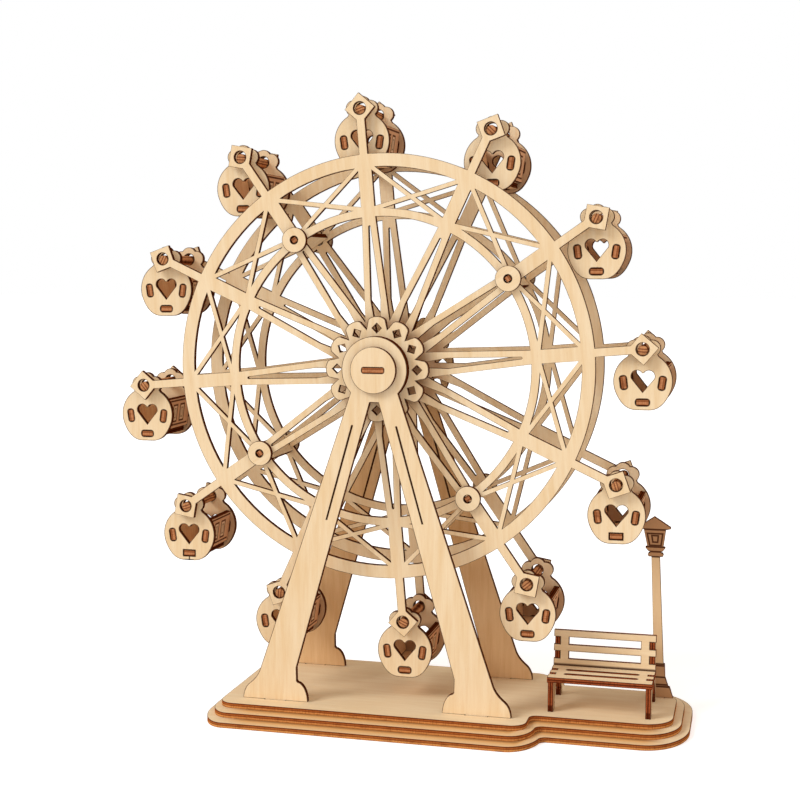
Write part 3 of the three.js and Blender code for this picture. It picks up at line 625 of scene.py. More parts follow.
class Finish:
    """A material of procedural nodes on one Principled shader."""

    def __init__(self, name):
        self.material = bpy.data.materials.new(name)
        self.material.use_nodes = True
        self.tree = self.material.node_tree
        self.shader = self.tree.nodes["Principled BSDF"]

    def node(self, kind, settings=None, inputs=(), output=0):
        """Adds a node by its type, its settings and its sockets' values or links."""
        made = self.tree.nodes.new("ShaderNode" + kind)
        for key, value in (settings or {}).items():
            if key == "stops":
                self._stops(made.color_ramp, value)
            else:
                setattr(made, key, value)
        pairs = inputs.items() if isinstance(inputs, dict) else enumerate(inputs)
        for key, value in pairs:
            self.join(made.inputs[key], value)
        return Value(self, made.outputs[output])

    def _stops(self, ramp, stops):
        while len(ramp.elements) < len(stops):
            ramp.elements.new(0.5)
        for element, (position, tone) in zip(ramp.elements, stops):
            element.position = position
            element.color = (*tone, 1)

    def join(self, socket, value):
        if isinstance(value, Value):
            self.tree.links.new(value.socket, socket)
        elif socket.type == "RGBA":
            socket.default_value = (*value, 1)
        else:
            socket.default_value = value

    def mix(self, share, low, high, blend="MIX"):
        settings = {"data_type": "RGBA", "blend_type": blend}
        return self.node("Mix", settings, {0: share, 6: low, 7: high}, 2)

    def attribute(self, name, output="Fac"):
        return self.node("Attribute", {"attribute_name": name}, (), output)

    def stretch(self, vector, x, y, z):
        return self.node("VectorMath", {"operation": "MULTIPLY"}, [vector, (x, y, z)])

    def noise(self, vector, across, along, deep=0.0, detail=3.0, roughness=0.6):
        """Noise with about so many swings a centimetre across and along the grain, and into the sheet."""
        inputs = {"Vector": self.stretch(vector, across, along, deep), "Scale": 1.0, "Detail": detail,
                  "Roughness": roughness}
        return self.node("TexNoise", {}, inputs)

    def wood(self):
        """Where a point lies on its sheet, in centimetres, and the same moved to the piece's own grain."""
        plan = self.attribute("plan", "Vector")
        batch = self.attribute("batch")
        own = self.node("CombineXYZ", {}, [batch * 83.0, batch * 47.0, 0.0])
        return plan, self.node("VectorMath", {"operation": "ADD"}, [plan, own])

    def split(self, vector):
        return [self.node("SeparateXYZ", {}, [vector], k) for k in range(3)]

    def paint(self, base, roughness, height, distance):
        """Joins colour, roughness and a bump height in millimetres to the shader."""
        self.join(self.shader.inputs["Base Color"], base)
        self.join(self.shader.inputs["Roughness"], roughness)
        bump = self.node("Bump", {}, {"Strength": 0.6, "Distance": distance * MM, "Height": height})
        self.join(self.shader.inputs["Normal"], bump)
        self.shader.inputs["Specular IOR Level"].default_value = 0.0
        return self.material


def face_colour(finish, pale, warm, pore):
    """Birch veneer: long soft streaks, fine lines and a few short pores along the grain."""
    plan, own = finish.wood()
    streak = finish.noise(own, across=4.2, along=0.32, detail=4.0)
    line = finish.noise(own, across=26.0, along=0.9)
    cloud = finish.noise(own, across=0.42, along=0.2, detail=2.0, roughness=0.5)
    speck = finish.noise(own, across=70.0, along=46.0, detail=2.0, roughness=0.7)
    tone = (streak * 0.44 + line * 0.18 + cloud * 0.24 + speck * 0.14).ramp(0.36, 0.66)
    base = finish.mix(tone, pale, warm)
    dash = finish.noise(own, across=62.0, along=4.2, detail=2.0, roughness=0.5).ramp(0.66, 0.76)
    base = finish.mix(dash * 0.42, base, pore)
    height = line * 0.6 - dash * 0.8
    return plan, own, base, height


# How much of a burnt face's colour is the scorch at most
SCORCH_DEPTH = 0.9


def scorch_share(finish, own):
    """How far a face is browned beside a cut, a little uneven along it."""
    uneven = finish.noise(own, across=9.0, along=9.0)
    rim = finish.attribute("scorch")
    return (rim * (0.55 + uneven * 0.9)).ramp(0.15, 0.75)


def face_finish(name, pale, warm, colours):
    """The bare face of a sheet."""
    finish = Finish(name)
    own, base, height = face_colour(finish, pale, warm, colours.pore)[1:]
    burn = scorch_share(finish, own)
    base = finish.mix(burn * SCORCH_DEPTH, base, colours.scorch)
    return finish.paint(base, 0.62 + height * 0.1, height - burn, 0.03)


def edge_finish(name, pale, mid, dark, layers, foot=0.0, pitch=0.2):
    """A laser-cut edge: layers across the thickness, with fine strokes and char along it.

    Below the height foot it is darker, and pitch is the sheet's thickness, both in centimetres.
    """
    finish = Finish(name)
    plan, own = finish.wood()
    y, depth = finish.split(plan)[1:]
    waver = finish.noise(own, across=3.2, along=3.2)
    across = (depth / pitch + (waver - 0.5) * 0.16).math("PINGPONG", 1.0)
    tones = {"p": pale, "m": mid, "d": dark}
    layer = finish.node("ValToRGB", {"stops": [(at, tones[tone]) for at, tone in layers]}, [across])
    stroke = finish.noise(own, across=34.0, along=34.0, deep=2.0, roughness=0.65)
    char = finish.noise(own, across=2.4, along=2.4, deep=5.0, detail=4.0)
    base = finish.mix(stroke.ramp(0.42, 0.7) * 0.45, layer, dark)
    base = finish.mix(char.ramp(0.5, 0.78) * 0.6, base, dark)
    if foot:
        base = finish.mix(y.ramp(foot - 0.05, foot + 0.02, 1.0, 0.0) * 0.75, base, dark)
    return finish.paint(base, 0.7 + stroke * 0.15, stroke + layer_height(across), 0.08)


def layer_height(across):
    """The middle layer burns a little deeper than the two outer ones."""
    return abs(across - 0.5).ramp(0.1, 0.24) * 0.5


def groove_line(distance, line):
    """1 in the middle of an engraved line, fading to 0 at its rims."""
    return abs(distance).ramp(line * 0.35, line, 1.0, 0.0)


def frame_line(x, y, half_width, half_height, line):
    """1 along the outline of a box round the origin, whose half width may change with height."""
    return groove_line((abs(x) - half_width).most(abs(y) - half_height), line)


def bar_line(x, y, height, half_width, line):
    """1 along a level line at a height, as long as twice the half width."""
    return groove_line(y - height, line) * abs(x).ramp(half_width, half_width + 0.01, 1.0, 0.0)


def pane_line(x, y, low, high, half_width, spread, line):
    """1 along the outline of a pane between two heights that widens upwards."""
    rise = (y - low) / (high - low)
    return frame_line(x, y - (low + high) / 2, half_width + rise * spread, (high - low) / 2, line)


def engraved_finish(name, pale, warm, colours, raster, draw):
    """A bare face with a rastered tint and engraved lines, which draw gives in centimetres on the sheet."""
    finish = Finish(name)
    plan, own, base, height = face_colour(finish, pale, warm, colours.pore)
    tint, groove = draw(*finish.split(plan)[:2])
    base = finish.mix(tint, base, raster)
    burn = scorch_share(finish, own).most(groove)
    base = finish.mix(burn * SCORCH_DEPTH, base, colours.scorch)
    return finish.paint(base, 0.64 + height * 0.1, height - burn * 2.0, 0.05)


def panel_lines(x, y):
    """A cabin panel's engraving: two tall windows between a line near the top and a sill."""
    line, top, sill, up = 0.052, 0.57, -0.44, y - 0.04
    lines = bar_line(x, y, top, 1.08, line).most(bar_line(x, y, sill, 1.0, line))
    panes = 0.0
    for middle in (-0.36, 0.36):
        across = x - middle
        lines = lines.most(frame_line(across, up, 0.21, 0.34, line))
        lines = lines.most(frame_line(across, up, 0.08, 0.19, line * 0.8) * 0.7)
        panes = (abs(across) - 0.18).most(abs(up) - 0.3).ramp(-0.02, 0.02, 0.4, 0.0) + panes
    return 0.95 - panes, lines


def tread_shade(base, above):
    """Painted shade on a lower base sheet where it steps out from under the sheet above, whose level is
    given: a golden tint, strongest beside the sheet above, and a dark line along that edge.
    """
    deep = (base.half_depth + above * base.grow_side) * CM
    wing = (base.wing_half_depth + above * base.grow_side) * CM
    shoulder = (base.shoulder + above * base.grow_right) * CM
    left, right = -base.left * CM, base.right * CM
    corner, neck = base.corner * CM, base.neck * CM

    def draw(x, y):
        side = y.ramp(shoulder - corner, shoulder + neck, deep, wing)
        ends = y.ramp(left, left + 1.6) * y.ramp(right - 1.1, right, 1.0, 0.0)
        out = abs(x) - side
        return out.ramp(0.1, 0.6, 0.95, 0.4) * ends, out.ramp(0.06, 0.24, 0.5, 0.0) * ends

    return draw


def leg_soot_and_shade(x, y):
    """The bench's narrow side frames are darkened all over, partly by smoke from the cuts and partly by
    painted shade.
    """
    return 0.6, 0.0


def hub_shade(x, y):
    """Painted shade on a wheel plate round the hub, where the rosette and the spokes' valleys lie in shade.
    """
    return (x * x + y * y).ramp(2.3, 5.0, 0.7, 0.0), 0.0


def wall_shade(x, y):
    """Painted shade on the lower part of a cabin's rear wall, between the side panels."""
    return y.ramp(-0.95, -0.55, 0.62, 0.0), 0.0


def back_lines(x, y):
    """The bench back's smoked line where it meets the seat."""
    return 0.0, x.ramp(-0.09, -0.01)


def lamp_lines(lamp):
    """The lamp's engraving: a lantern pane in a frame and collars, with a brown tint over the lantern, its
    roof and the plinth.
    """
    line = 0.048
    waist, plinth_top, step = (lamp.lantern_z - lamp.collar) * CM, lamp.plinth_z * CM, lamp.step_z * CM
    levels = (lamp.eave_z * CM, lamp.lantern_z * CM, waist, waist - 0.2, plinth_top, plinth_top - 0.07,
              lamp.flare_z * CM, step + 0.08, step)

    def draw(x, y):
        middle = x + (y - BASE_TOP * CM) * math.tan(lamp.lean)
        lines = pane_line(middle, y, 6.7, 7.17, 0.22, 0.08, line)
        lines = lines.most(pane_line(middle, y, 6.83, 7.09, 0.095, 0.03, line))
        for level in levels:
            lines = lines.most(bar_line(middle, y, level, 0.6, 0.052))
        lantern = y.ramp(waist - 0.2, waist - 0.14)
        plinth = y.ramp(plinth_top - 0.02, plinth_top + 0.02, 1.0, 0.0)
        return (lantern * 0.9 + plinth * 0.8 + 0.05).least(1.0), lines

    return draw


# Layers of the cut edges across one thickness: how far in, and the pale, middle or dark tone
SHEET_LAYERS = ((0.0, "d"), (0.1, "m"), (0.22, "p"), (0.36, "m"), (0.46, "d"), (0.58, "m"), (0.74, "p"),
                (0.88, "m"), (1.0, "d"))
BASE_LAYERS = ((0.0, "d"), (0.06, "m"), (0.12, "p"), (0.38, "p"), (0.44, "m"), (0.5, "d"), (0.58, "m"),
               (0.7, "m"), (0.8, "m"), (0.88, "d"), (1.0, "d"))
PIN_LAYERS = ((0.0, "p"), (0.08, "m"), (0.17, "d"), (0.26, "m"), (0.4, "p"), (0.54, "m"), (0.62, "d"),
              (1.0, "d"))
TAB_LAYERS = ((0.0, "d"), (0.08, "m"), (0.3, "p"), (0.58, "p"), (0.64, "d"), (0.72, "m"), (0.9, "m"),
              (1.0, "d"))


def finish_of(kind):
    """One of the model's finishes, made the first time that it is asked for."""
    made = bpy.data.materials.get(kind)
    if made:
        return made
    scene = bpy.context.scene
    c, base, lamp = tones_of(scene.ferris_wood), in_mm(scene.ferris_base), in_mm(scene.ferris_lamp)
    foot = (BASE_TOP + in_mm(scene.ferris_bench).foot_height) * CM
    bench_edge = (c.bench_edge_pale, c.bench_edge_mid, c.bench_edge_dark, SHEET_LAYERS)
    plain = {
        "birch_face": (c.pale, c.warm),
        "rear_face": (c.rear_pale, c.rear_warm),
        "inside_face": (c.rear_pale, c.inside),
        "bench_face": (c.bench_pale, c.bench_warm),
        "base_face": (c.base_pale, c.base_warm),
    }
    engraved = {
        "wheel_face": (c.pale, c.warm, c, c.soot_and_shade, hub_shade),
        "wall_face": (c.pale, c.rear_pale, c, c.soot_and_shade, wall_shade),
        "panel_face": (c.pale, c.warm, c, c.panel, panel_lines),
        "leg_face": (c.bench_pale, c.bench_warm, c, c.soot_and_shade, leg_soot_and_shade),
        "back_face": (c.bench_pale, c.bench_warm, c, c.bench_warm, back_lines),
        "middle_tread": (c.base_pale, c.base_warm, c, c.tread, tread_shade(base, 0)),
        "bottom_tread": (c.base_pale, c.base_warm, c, c.tread, tread_shade(base, 1)),
        "lamp_face": (c.rear_pale, c.bench_warm, c, c.lamp, lamp_lines(lamp)),
    }
    edges = {
        "birch_edge": (c.edge_pale, c.edge_mid, c.edge_dark, SHEET_LAYERS),
        "bench_edge": bench_edge,
        "bench_leg": (*bench_edge, foot),
        "base_edge": (c.base_edge_pale, c.base_edge_mid, c.base_edge_dark, BASE_LAYERS),
        "tab_end": (c.end_pale, c.end_mid, c.end_dark, TAB_LAYERS),
        "pin_end": (c.pin_pale, c.end_pale, c.pin_dark, PIN_LAYERS, 0.0, 0.3),
    }
    if kind in plain:
        return face_finish(kind, *plain[kind], c)
    return engraved_finish(kind, *engraved[kind]) if kind in engraved else edge_finish(kind, *edges[kind])


def finishes_of(*kinds):
    return [finish_of(kind) for kind in kinds]


def sheet_finishes():
    """The finishes of a plain sheet: its faces, its edges and the ends of its tabs."""
    return finishes_of("birch_face", "birch_edge", "tab_end")


def sizes_of(context, *names):
    """The named groups of sizes in millimetres, with the sheet's own sizes first."""
    return [in_mm(getattr(context.scene, f"ferris_{name}")) for name in ("sheet", *names)]


# Base


def tab_slot(ply, sheet, width, x, y):
    """A slot for a tab, with a short relief at each of its corners."""
    w, h, ear, out = width / 2 + ply.gap, ply.ply / 2 + ply.gap, 0.55, 0.32
    pen = sheet.pen(0, h).line((w - ear, h), (w - ear, h + out), (w, h + out), (w, 0))
    pen.mirror("X").mirror("Y").move(x, y)


def base_sheet(ply, base, stand, lamp, level):
    """One sheet of the base, the top one being level 0. Only the top one has slots."""
    bends = 14
    left, right = -(base.left + level * base.grow_left), base.right + level * base.grow_right
    shoulder = base.shoulder + level * base.grow_right
    deep = base.half_depth + level * base.grow_side
    wing = base.wing_half_depth + level * base.grow_side
    side, at_left = base.corner + level * base.grow_side, base.corner + level * base.grow_left
    at_right, wing_x = base.corner + level * base.grow_right, base.wing_corner + level * base.grow_right
    wing_y = base.wing_corner + level * base.grow_side
    start = math.asin(max(0, (wing + base.neck - deep + side) / side))
    neck_x = shoulder - at_right * (1 - math.cos(start)) + base.neck
    sheet = Sheet(ply.ply)
    pen = sheet.pen(right, 0).line((right, wing - wing_y))
    pen.corner(right - wing_x, wing - wing_y, wing_x, wing_y, 0, bends)
    pen.line((neck_x, wing)).arc(neck_x, wing + base.neck, -QUARTER, 8)
    if level == 0:
        pen.line((shoulder, deep - side))
    pen.corner(shoulder - at_right, deep - side, at_right, side, start, bends, QUARTER)
    pen.line((left + at_left, deep)).corner(left + at_left, deep - side, at_left, side, QUARTER, bends)
    pen.line((left, 0)).mirror("Y")
    if level == 0:
        foot = (stand.foot_outer + stand.foot_inner) / 2
        row = stand.half_gap + ply.ply / 2
        for x, y in ((foot, row), (foot, -row), (-foot, row), (-foot, -row)):
            tab_slot(ply, sheet, stand.tab, x, y)
        tab_slot(ply, sheet, lamp.tab, lamp.centre, lamp.front + ply.ply / 2)
    sheet.cut(ply.scorch, QUARTER)
    return sheet.place(lying(0, 0, BASE_TOP - (level + 1) * ply.ply))


class FERRIS_OT_base(bpy.types.Operator):
    """Cuts and stacks the three sheets of the base"""

    bl_idname = "ferris.base"
    bl_label = "Base"

    def execute(self, context):
        ply, base, stand, lamp = sizes_of(context, "base", "stand", "lamp")
        layers = (("base_top_plate", "base_face"), ("base_middle_plate", "middle_tread"),
                  ("base_bottom_plate", "bottom_tread"))
        for level, (node, face) in enumerate(layers):
            sheet = base_sheet(ply, base, stand, lamp, level)
            add_piece(node, "stand", [sheet], finishes_of(face, "base_edge"))
        return {"FINISHED"}


# A-frames and what sits on the axle


# How many times wider the scorch is on the A-frames and the cabins' walls, the rosettes and the bench;
# round the rosettes' windows and the cabins' slots the wider rim is partly painted shade
WALL_BURN, PETAL_BURN_AND_SHADE, BENCH_BURN = 1.4, 1.7, 1.8


def bend(start, pull, end, steps):
    """Points along a curve that leaves its start towards a point and comes in to its end from there."""
    points = []
    for k in range(1, steps + 1):
        u = k / steps
        points.append(tuple(start * (1 - u) ** 2 + pull * 2 * u * (1 - u) + end * u ** 2))
    return points


def frame_sheet(ply, s, height):
    """An A-frame, drawn round the hub."""
    drop = math.sqrt(s.head_radius ** 2 - s.neck ** 2)
    tab = (s.foot_outer + s.foot_inner) / 2
    low, half = -height, s.tab / 2
    sheet = Sheet(ply.ply)
    pen = sheet.pen(0, -s.crotch_drop).line((s.crotch, -s.crotch_drop), (s.ankle_inner, low + s.calf_rise))
    toe, heel = s.ankle_inner - s.foot_inner, s.foot_outer - s.ankle_outer
    inner = math.asin(s.ankle / toe)
    pen.corner(s.ankle_inner - s.ankle, low + s.inner_rise * math.cos(inner) + s.ankle, s.ankle, s.ankle,
               0, 4, -QUARTER)
    pen.corner(s.ankle_inner, low, toe, s.inner_rise, QUARTER + inner, 8, math.pi)
    pen.line((tab - half, low), (tab - half, low - ply.ply), (tab + half, low - ply.ply), (tab + half, low))
    instep = math.radians(58)
    pen.line((s.foot_outer, low)).corner(s.ankle_outer, low, heel, s.outer_rise, 0, 8, instep)
    start = Vector((s.ankle_outer + heel * math.cos(instep), low + s.outer_rise * math.sin(instep)))
    slope = Vector((-heel * math.sin(instep), s.outer_rise * math.cos(instep)))
    leg, neck = Vector((s.ankle_outer, low + s.outer_rise)), Vector((s.neck, -drop))
    pen.line(*bend(start, crossing(start, start + slope, leg, neck),
                   leg + (neck - leg).normalized() * s.outer_ankle, 7))
    pen.line((s.neck, -drop)).arc(0, 0, math.atan2(drop, s.neck) + QUARTER, 26)
    pen.mirror("X")
    top, bottom = slit_middles(s, height, drop)
    w = s.slit / 2
    for flip in (1, -1):
        sheet.pen(flip * (bottom - w), -s.slit_bottom).line(
            (flip * (bottom + w), -s.slit_bottom), (flip * (top + w), -s.slit_top),
            (flip * top, -s.slit_top + w), (flip * (top - w), -s.slit_top)).close()
    sheet.box(s.axle + 2 * ply.gap, ply.ply + 2 * ply.gap)
    return sheet.cut(ply.scorch * WALL_BURN)


def slit_middles(s, height, drop):
    """How far from the middle a leg's slit is at its top and its bottom."""

    def between(low, high, start, end, at):
        return low + (high - low) * (at - start) / (end - start)

    middles = []
    for at, share in ((s.slit_top, 0.47), (s.slit_bottom, 0.38)):
        outer = between(s.neck, s.ankle_outer, drop, height - s.outer_rise, at)
        inner = between(s.crotch, s.ankle_inner, s.crotch_drop, height - s.calf_rise, at)
        middles.append(inner + (outer - inner) * share)
    return middles


class FERRIS_OT_frames(bpy.types.Operator):
    """Cuts the two A-frames and stands them in the base"""

    bl_idname = "ferris.frames"
    bl_label = "A-frames"

    def execute(self, context):
        ply, s = sizes_of(context, "stand")
        hub = HUB.z / MM
        for node, back in (("front_a_frame", -s.half_gap), ("rear_a_frame", s.half_gap + ply.ply)):
            sheet = frame_sheet(ply, s, hub - BASE_TOP).place(facing_front(0, back, hub))
            # The rear A-frame gets darker, warmer tones: painted shade from the wheel
            face = "birch_face" if back < 0 else "rear_face"
            add_piece(node, "stand", [sheet], finishes_of(face, "birch_edge"))
        return {"FINISHED"}


def cross_opening(ply, sheet, axle):
    """The cross-shaped opening that both blades of the axle fill."""
    w, d = axle / 2 + ply.gap, ply.ply / 2 + ply.gap
    pen = sheet.pen(0, w).line((d, w), (d, d), (w, d), (w, 0))
    pen.mirror("X").mirror("Y")


def rosette(ply, s):
    """A ring of petals, each with a diamond window."""
    sheet = Sheet(ply.ply)
    half = PITCH / 2
    width = s.petal_valley * math.sin(half)
    root = s.petal_valley * math.cos(half)
    side = ((0.93, s.petal_valley + 1.5), (0.84, s.petal_shoulder), (0.68, s.petal_shoulder + 0.72),
            (0.46, s.petal_tip - 0.28), (0.2, s.petal_tip))
    pen = sheet.pen(-width, root).line(*((-width * share, y) for share, y in side))
    pen.line(*((width * share, y) for share, y in reversed(side)), (width, root))
    w = s.window
    sheet.pen(0, s.window_radius - w).line(
        (w, s.window_radius), (0, s.window_radius + w), (-w, s.window_radius)).close()
    sheet.repeat(ARMS)
    cross_opening(ply, sheet, s.axle)
    return sheet


def plain_disc(ply, s, radius, thickness, axle_through):
    """A disc on the axle, with the axle's cross in it or a cap's rounded slot for the long blade."""
    sheet = Sheet(thickness)
    sheet.circle(radius, segments=72)
    if axle_through:
        cross_opening(ply, sheet, s.axle)
    else:
        end_play, side_play, corner = 0.5, 0.4, 0.85
        sheet.pill(s.axle + end_play, ply.ply + side_play, corner)
    return sheet


def axle_blades(ply, s):
    """The axle's two blades, which slide into each other halfway."""
    w, reach, lap = s.axle / 2, s.half_gap + 2 * ply.ply, ply.ply / 2 + ply.gap
    short = s.half_gap - ply.gap
    long_blade, cross_blade = Sheet(ply.ply), Sheet(ply.ply)
    long_blade.pen(-w, -reach).line((w, -reach), (w, reach), (lap, reach), (lap, -ply.gap),
                                    (-lap, -ply.gap), (-lap, reach), (-w, reach)).close()
    cross_blade.pen(-short, -w).line((short, -w), (short, w), (-short, w), (-short, lap),
                                     (0, lap), (0, -lap), (-short, -lap)).close()
    return long_blade.cut(ply.scorch).tint_ends(1, reach), cross_blade.cut(ply.scorch)


class FERRIS_OT_hub(bpy.types.Operator):
    """Makes the axle, its collars, rosettes, discs and caps"""

    bl_idname = "ferris.hub"
    bl_label = "Hub"

    def execute(self, context):
        ply, s = sizes_of(context, "stand")
        hub, t = HUB.z / MM, ply.ply
        rosette_face = s.half_gap - 2 * t
        for side, facing in (("front", -1), ("rear", 1)):
            layers = (
                ("hub_collar", plain_disc(ply, s, s.collar_radius, rosette_face - s.collar_inner, True),
                 s.collar_inner),
                ("rosette", rosette(ply, s), rosette_face),
                ("head_disc", plain_disc(ply, s, s.head_radius, t, True), rosette_face + t),
                ("axle_cap", plain_disc(ply, s, s.cap_radius, t, False), s.half_gap + t),
            )
            for name, sheet, near in layers:
                back = -near if facing < 0 else near + sheet.thickness
                burn = ply.scorch * (PETAL_BURN_AND_SHADE if name == "rosette" else 1.0)
                sheet.cut(burn).place(facing_front(0, back, hub))
                add_piece(f"{side}_{name}", "stand", [sheet], sheet_finishes())
        places = (lying(0, 0, hub - t / 2), facing_side(-t / 2, 0, hub))
        for name, blade, place in zip(("long", "cross"), axle_blades(ply, s), places):
            add_piece(f"axle_{name}_blade", "stand", [blade.place(place)], sheet_finishes())
        return {"FINISHED"}


# Wheel


def flipped(p):
    """A point's mirror image at the other side of the sheet's middle."""
    return Vector((-p.x, p.y))


def crossing(a, b, c, d):
    """Where the line through a and b meets the line through c and d."""
    run, other = b - a, d - c
    share = (c - a).cross(other) / run.cross(other)
    return a + run * share


def on_circle(a, b, radius, outward):
    """Where the line from a through b meets a circle round the hub."""
    run = b - a
    p, q, r = run.dot(run), 2 * a.dot(run), a.dot(a) - radius * radius
    root = math.sqrt(q * q - 4 * p * r)
    return a + run * ((-q + (root if outward else -root)) / (2 * p))


def beside_spoke(w, radius):
    """A spoke's right-hand side at a radius, where up halves the gap between two spokes."""
    along = math.sqrt(radius ** 2 - w.spoke ** 2)
    c, s = math.cos(PITCH / 2), math.sin(PITCH / 2)
    return Vector((-w.spoke * c + along * s, along * c + w.spoke * s))


def arc_gap(sheet, tip, start, steps, angle):
    """An opening with an arc round the hub at one side and a corner at the other."""
    turn = 2 * math.atan2(start.x, start.y)
    return sheet.pen(*start).arc(0, 0, turn, steps).line(tip).close().turn(angle)


def brace_openings(sheet, w):
    """The four openings that a pair of crossed braces leaves between the rings."""
    outer, inner = beside_spoke(w, w.outer_inside), beside_spoke(w, w.inner)
    start = flipped(inner)
    run = (outer - start).normalized()
    lift = Vector((-run.y, run.x)) * w.brace / 2
    upper, lower = (start + lift, outer + lift), (start - lift, outer - lift)
    upper_other, lower_other = [flipped(p) for p in upper], [flipped(p) for p in lower]
    top, bottom = crossing(*upper, *upper_other), crossing(*lower, *lower_other)
    side = crossing(*lower, *upper_other)
    arc_gap(sheet, top, on_circle(*upper, w.outer_inside, True), 8, PITCH / 2)
    arc_gap(sheet, bottom, flipped(on_circle(bottom, lower[0], w.inner, False)), 6, PITCH / 2)
    corners = [crossing(*upper_other, outer, inner), crossing(*lower, outer, inner)]
    for gap in ([side, *corners], [flipped(p) for p in (side, *corners)]):
        sheet.pen(*gap[0]).line(*gap[1:]).close().turn(PITCH / 2)


def wheel_sheet(ply, w):
    """A wheel plate: one twelfth is drawn and turned round the hub."""
    sheet = Sheet(ply.ply)
    root = math.asin(w.arm / w.outer)
    half, reach = PITCH / 2, w.outer * math.cos(root)
    shoulder = w.pivot_radius - w.diamond + w.arm
    pen = sheet.pen(-w.outer * math.sin(half), w.outer * math.cos(half)).arc(0, 0, root - half, 8)
    pen.line((-w.arm, shoulder), (-w.diamond, w.pivot_radius), (0, w.pivot_radius + w.diamond))
    pen.line((w.diamond, w.pivot_radius), (w.arm, shoulder), (w.arm, reach)).arc(0, 0, root - half, 8)
    brace_openings(sheet, w)
    arc_gap(sheet, (0, w.valley), beside_spoke(w, w.inner_inside), 8, half)
    slit = sheet.pen(0, w.slot_start).line(
        (w.slot_start_half, w.slot_start), (w.slot_elbow_half, w.slot_elbow),
        (w.slot_end_half, w.slot_end), (0, w.slot_end + w.slot_end_half))
    slit.mirror("X")
    sheet.circle(w.pin_hole, 0, w.pivot_radius, 28)
    sheet.repeat(ARMS)
    for arm in PLANK_ARMS:
        a = arm * PITCH
        sheet.circle(w.peg_hole, w.plank_radius * math.sin(a), w.plank_radius * math.cos(a), 20)
    sheet.circle(w.hub_hole, segments=36)
    return sheet.cut(ply.scorch)


def wheel_place(angle=0.0):
    """Turns a piece with the wheel's rest angle, and by its own angle, round the hub."""
    return Matrix.Translation(HUB / MM) @ Matrix.Rotation(WHEEL_TURN + angle, 4, "Y")


class FERRIS_OT_wheel(bpy.types.Operator):
    """Cuts the two wheel plates"""

    bl_idname = "ferris.wheel"
    bl_label = "Wheel plates"

    def execute(self, context):
        ply, w = sizes_of(context, "wheel")
        for node, back in (("front_wheel_plate", -w.half_gap), ("rear_wheel_plate", w.half_gap + ply.ply)):
            sheet = wheel_sheet(ply, w).place(wheel_place() @ facing_front(0, back, 0))
            # The plates' faces get painted shade round the hub
            add_piece(node, "wheel", [sheet], finishes_of("wheel_face", "birch_edge"))
        return {"FINISHED"}


class FERRIS_OT_planks(bpy.types.Operator):
    """Cuts the cross planks and the washers over their pegs"""

    bl_idname = "ferris.planks"
    bl_label = "Planks and washers"

    def execute(self, context):
        ply, w = sizes_of(context, "wheel")
        t, face, sunk = ply.ply, w.half_gap + ply.ply, 0.4
        inner, end = w.half_gap - ply.gap, face + t - sunk
        for k, arm in enumerate(PLANK_ARMS, start=1):
            place = wheel_place(arm * PITCH)
            plank = Sheet(t)
            pen = plank.pen(0, end).line((w.peg / 2, end), (w.peg / 2, inner), (w.plank / 2, inner))
            pen.line((w.plank / 2, 0)).mirror("X").mirror("Y")
            plank.cut(ply.scorch, QUARTER).tint_ends(1, end)
            plank.place(place @ lying(0, 0, w.plank_radius - t / 2))
            add_piece(f"wheel_plank_{k:02d}", "wheel", [plank], sheet_finishes())
            for side, back in (("front", -face), ("rear", face + t)):
                washer = Sheet(t)
                washer.circle(w.washer, segments=44)
                washer.circle(w.peg_hole, segments=20)
                washer.cut(ply.scorch).place(place @ facing_front(0, back, w.plank_radius))
                add_piece(f"{side}_washer_{k:02d}", "wheel", [washer], sheet_finishes())
        return {"FINISHED"}


# Gondolas


def heel_curve(g, hip):
    """The bulging corner between the straight bottom and the round body."""
    start, end = Vector((g.bottom_half, -g.bottom)), Vector((g.body * math.cos(hip), -g.body_drop))
    end.y += g.body * math.sin(hip)
    pull = end + g.heel_pull * Vector((math.sin(hip), -math.cos(hip)))
    return bend(start, pull, end, 9)


def wall_outline(sheet, g):
    """Half of an end wall from its bottom to its top lobe, then its mirror image."""
    hip = -math.asin((g.hip_drop - g.body_drop) / g.body)
    neck = math.acos(g.neck_half / g.body)
    rise = g.top_rise - g.lobe_rise
    fold = math.acos(math.hypot(g.lobe_spread, rise) / (2 * g.lobe))
    start, end = math.radians(-50), math.atan2(rise, -g.lobe_spread) - fold
    top = math.atan2(-rise, g.lobe_spread) + fold
    pen = sheet.pen(0, -g.bottom).line((g.bottom_half, -g.bottom), *heel_curve(g, hip))
    pen.arc(0, -g.body_drop, neck - hip, 20)
    pen.line((g.lobe_spread + g.lobe * math.cos(start), g.lobe_rise + g.lobe * math.sin(start)))
    pen.arc(g.lobe_spread, g.lobe_rise, end - start, 14).arc(0, g.top_rise, QUARTER - top, 6)
    pen.mirror("X")


def heart(sheet, g):
    """A heart-shaped opening, one half and its mirror image."""
    r, start, end = g.heart / 4, math.radians(-22), math.radians(150)
    pen = sheet.pen(0, -g.heart_tip)
    pen.line((r + r * math.cos(start), -g.heart_lobe + r * math.sin(start)))
    pen.arc(r, -g.heart_lobe, end - start, 14).line((0, -g.heart_notch)).mirror("X")


def wall_slots(sheet, g, soft, split):
    """The three slots of an end wall. The lower one may have sharp corners, or a cut down to the rim."""
    rounded, sharp, cut, rim = g.slot_width / 2 - 0.25, 0.06, 0.1, 0.3
    for side in (1, -1):
        pill = sheet.pill(g.slot_width, g.slot, rounded)
        pill.turn(side * g.panel_lean).move(side * g.panel_offset, -g.panel_drop)
    w, h, r = g.slot / 2, g.slot_width / 2, rounded if soft else sharp
    top, low = h - g.floor_drop, -h - g.floor_drop
    pen = sheet.pen(0, top).line((w - r, top)).arc(w - r, top - r, -QUARTER, 4)
    pen.line((w, low + r)).arc(w - r, low + r, -QUARTER, 4)
    if split:
        pen.line((cut, low), (cut, rim - g.bottom), (0, rim - g.bottom))
    else:
        pen.line((0, low))
    pen.mirror("X")


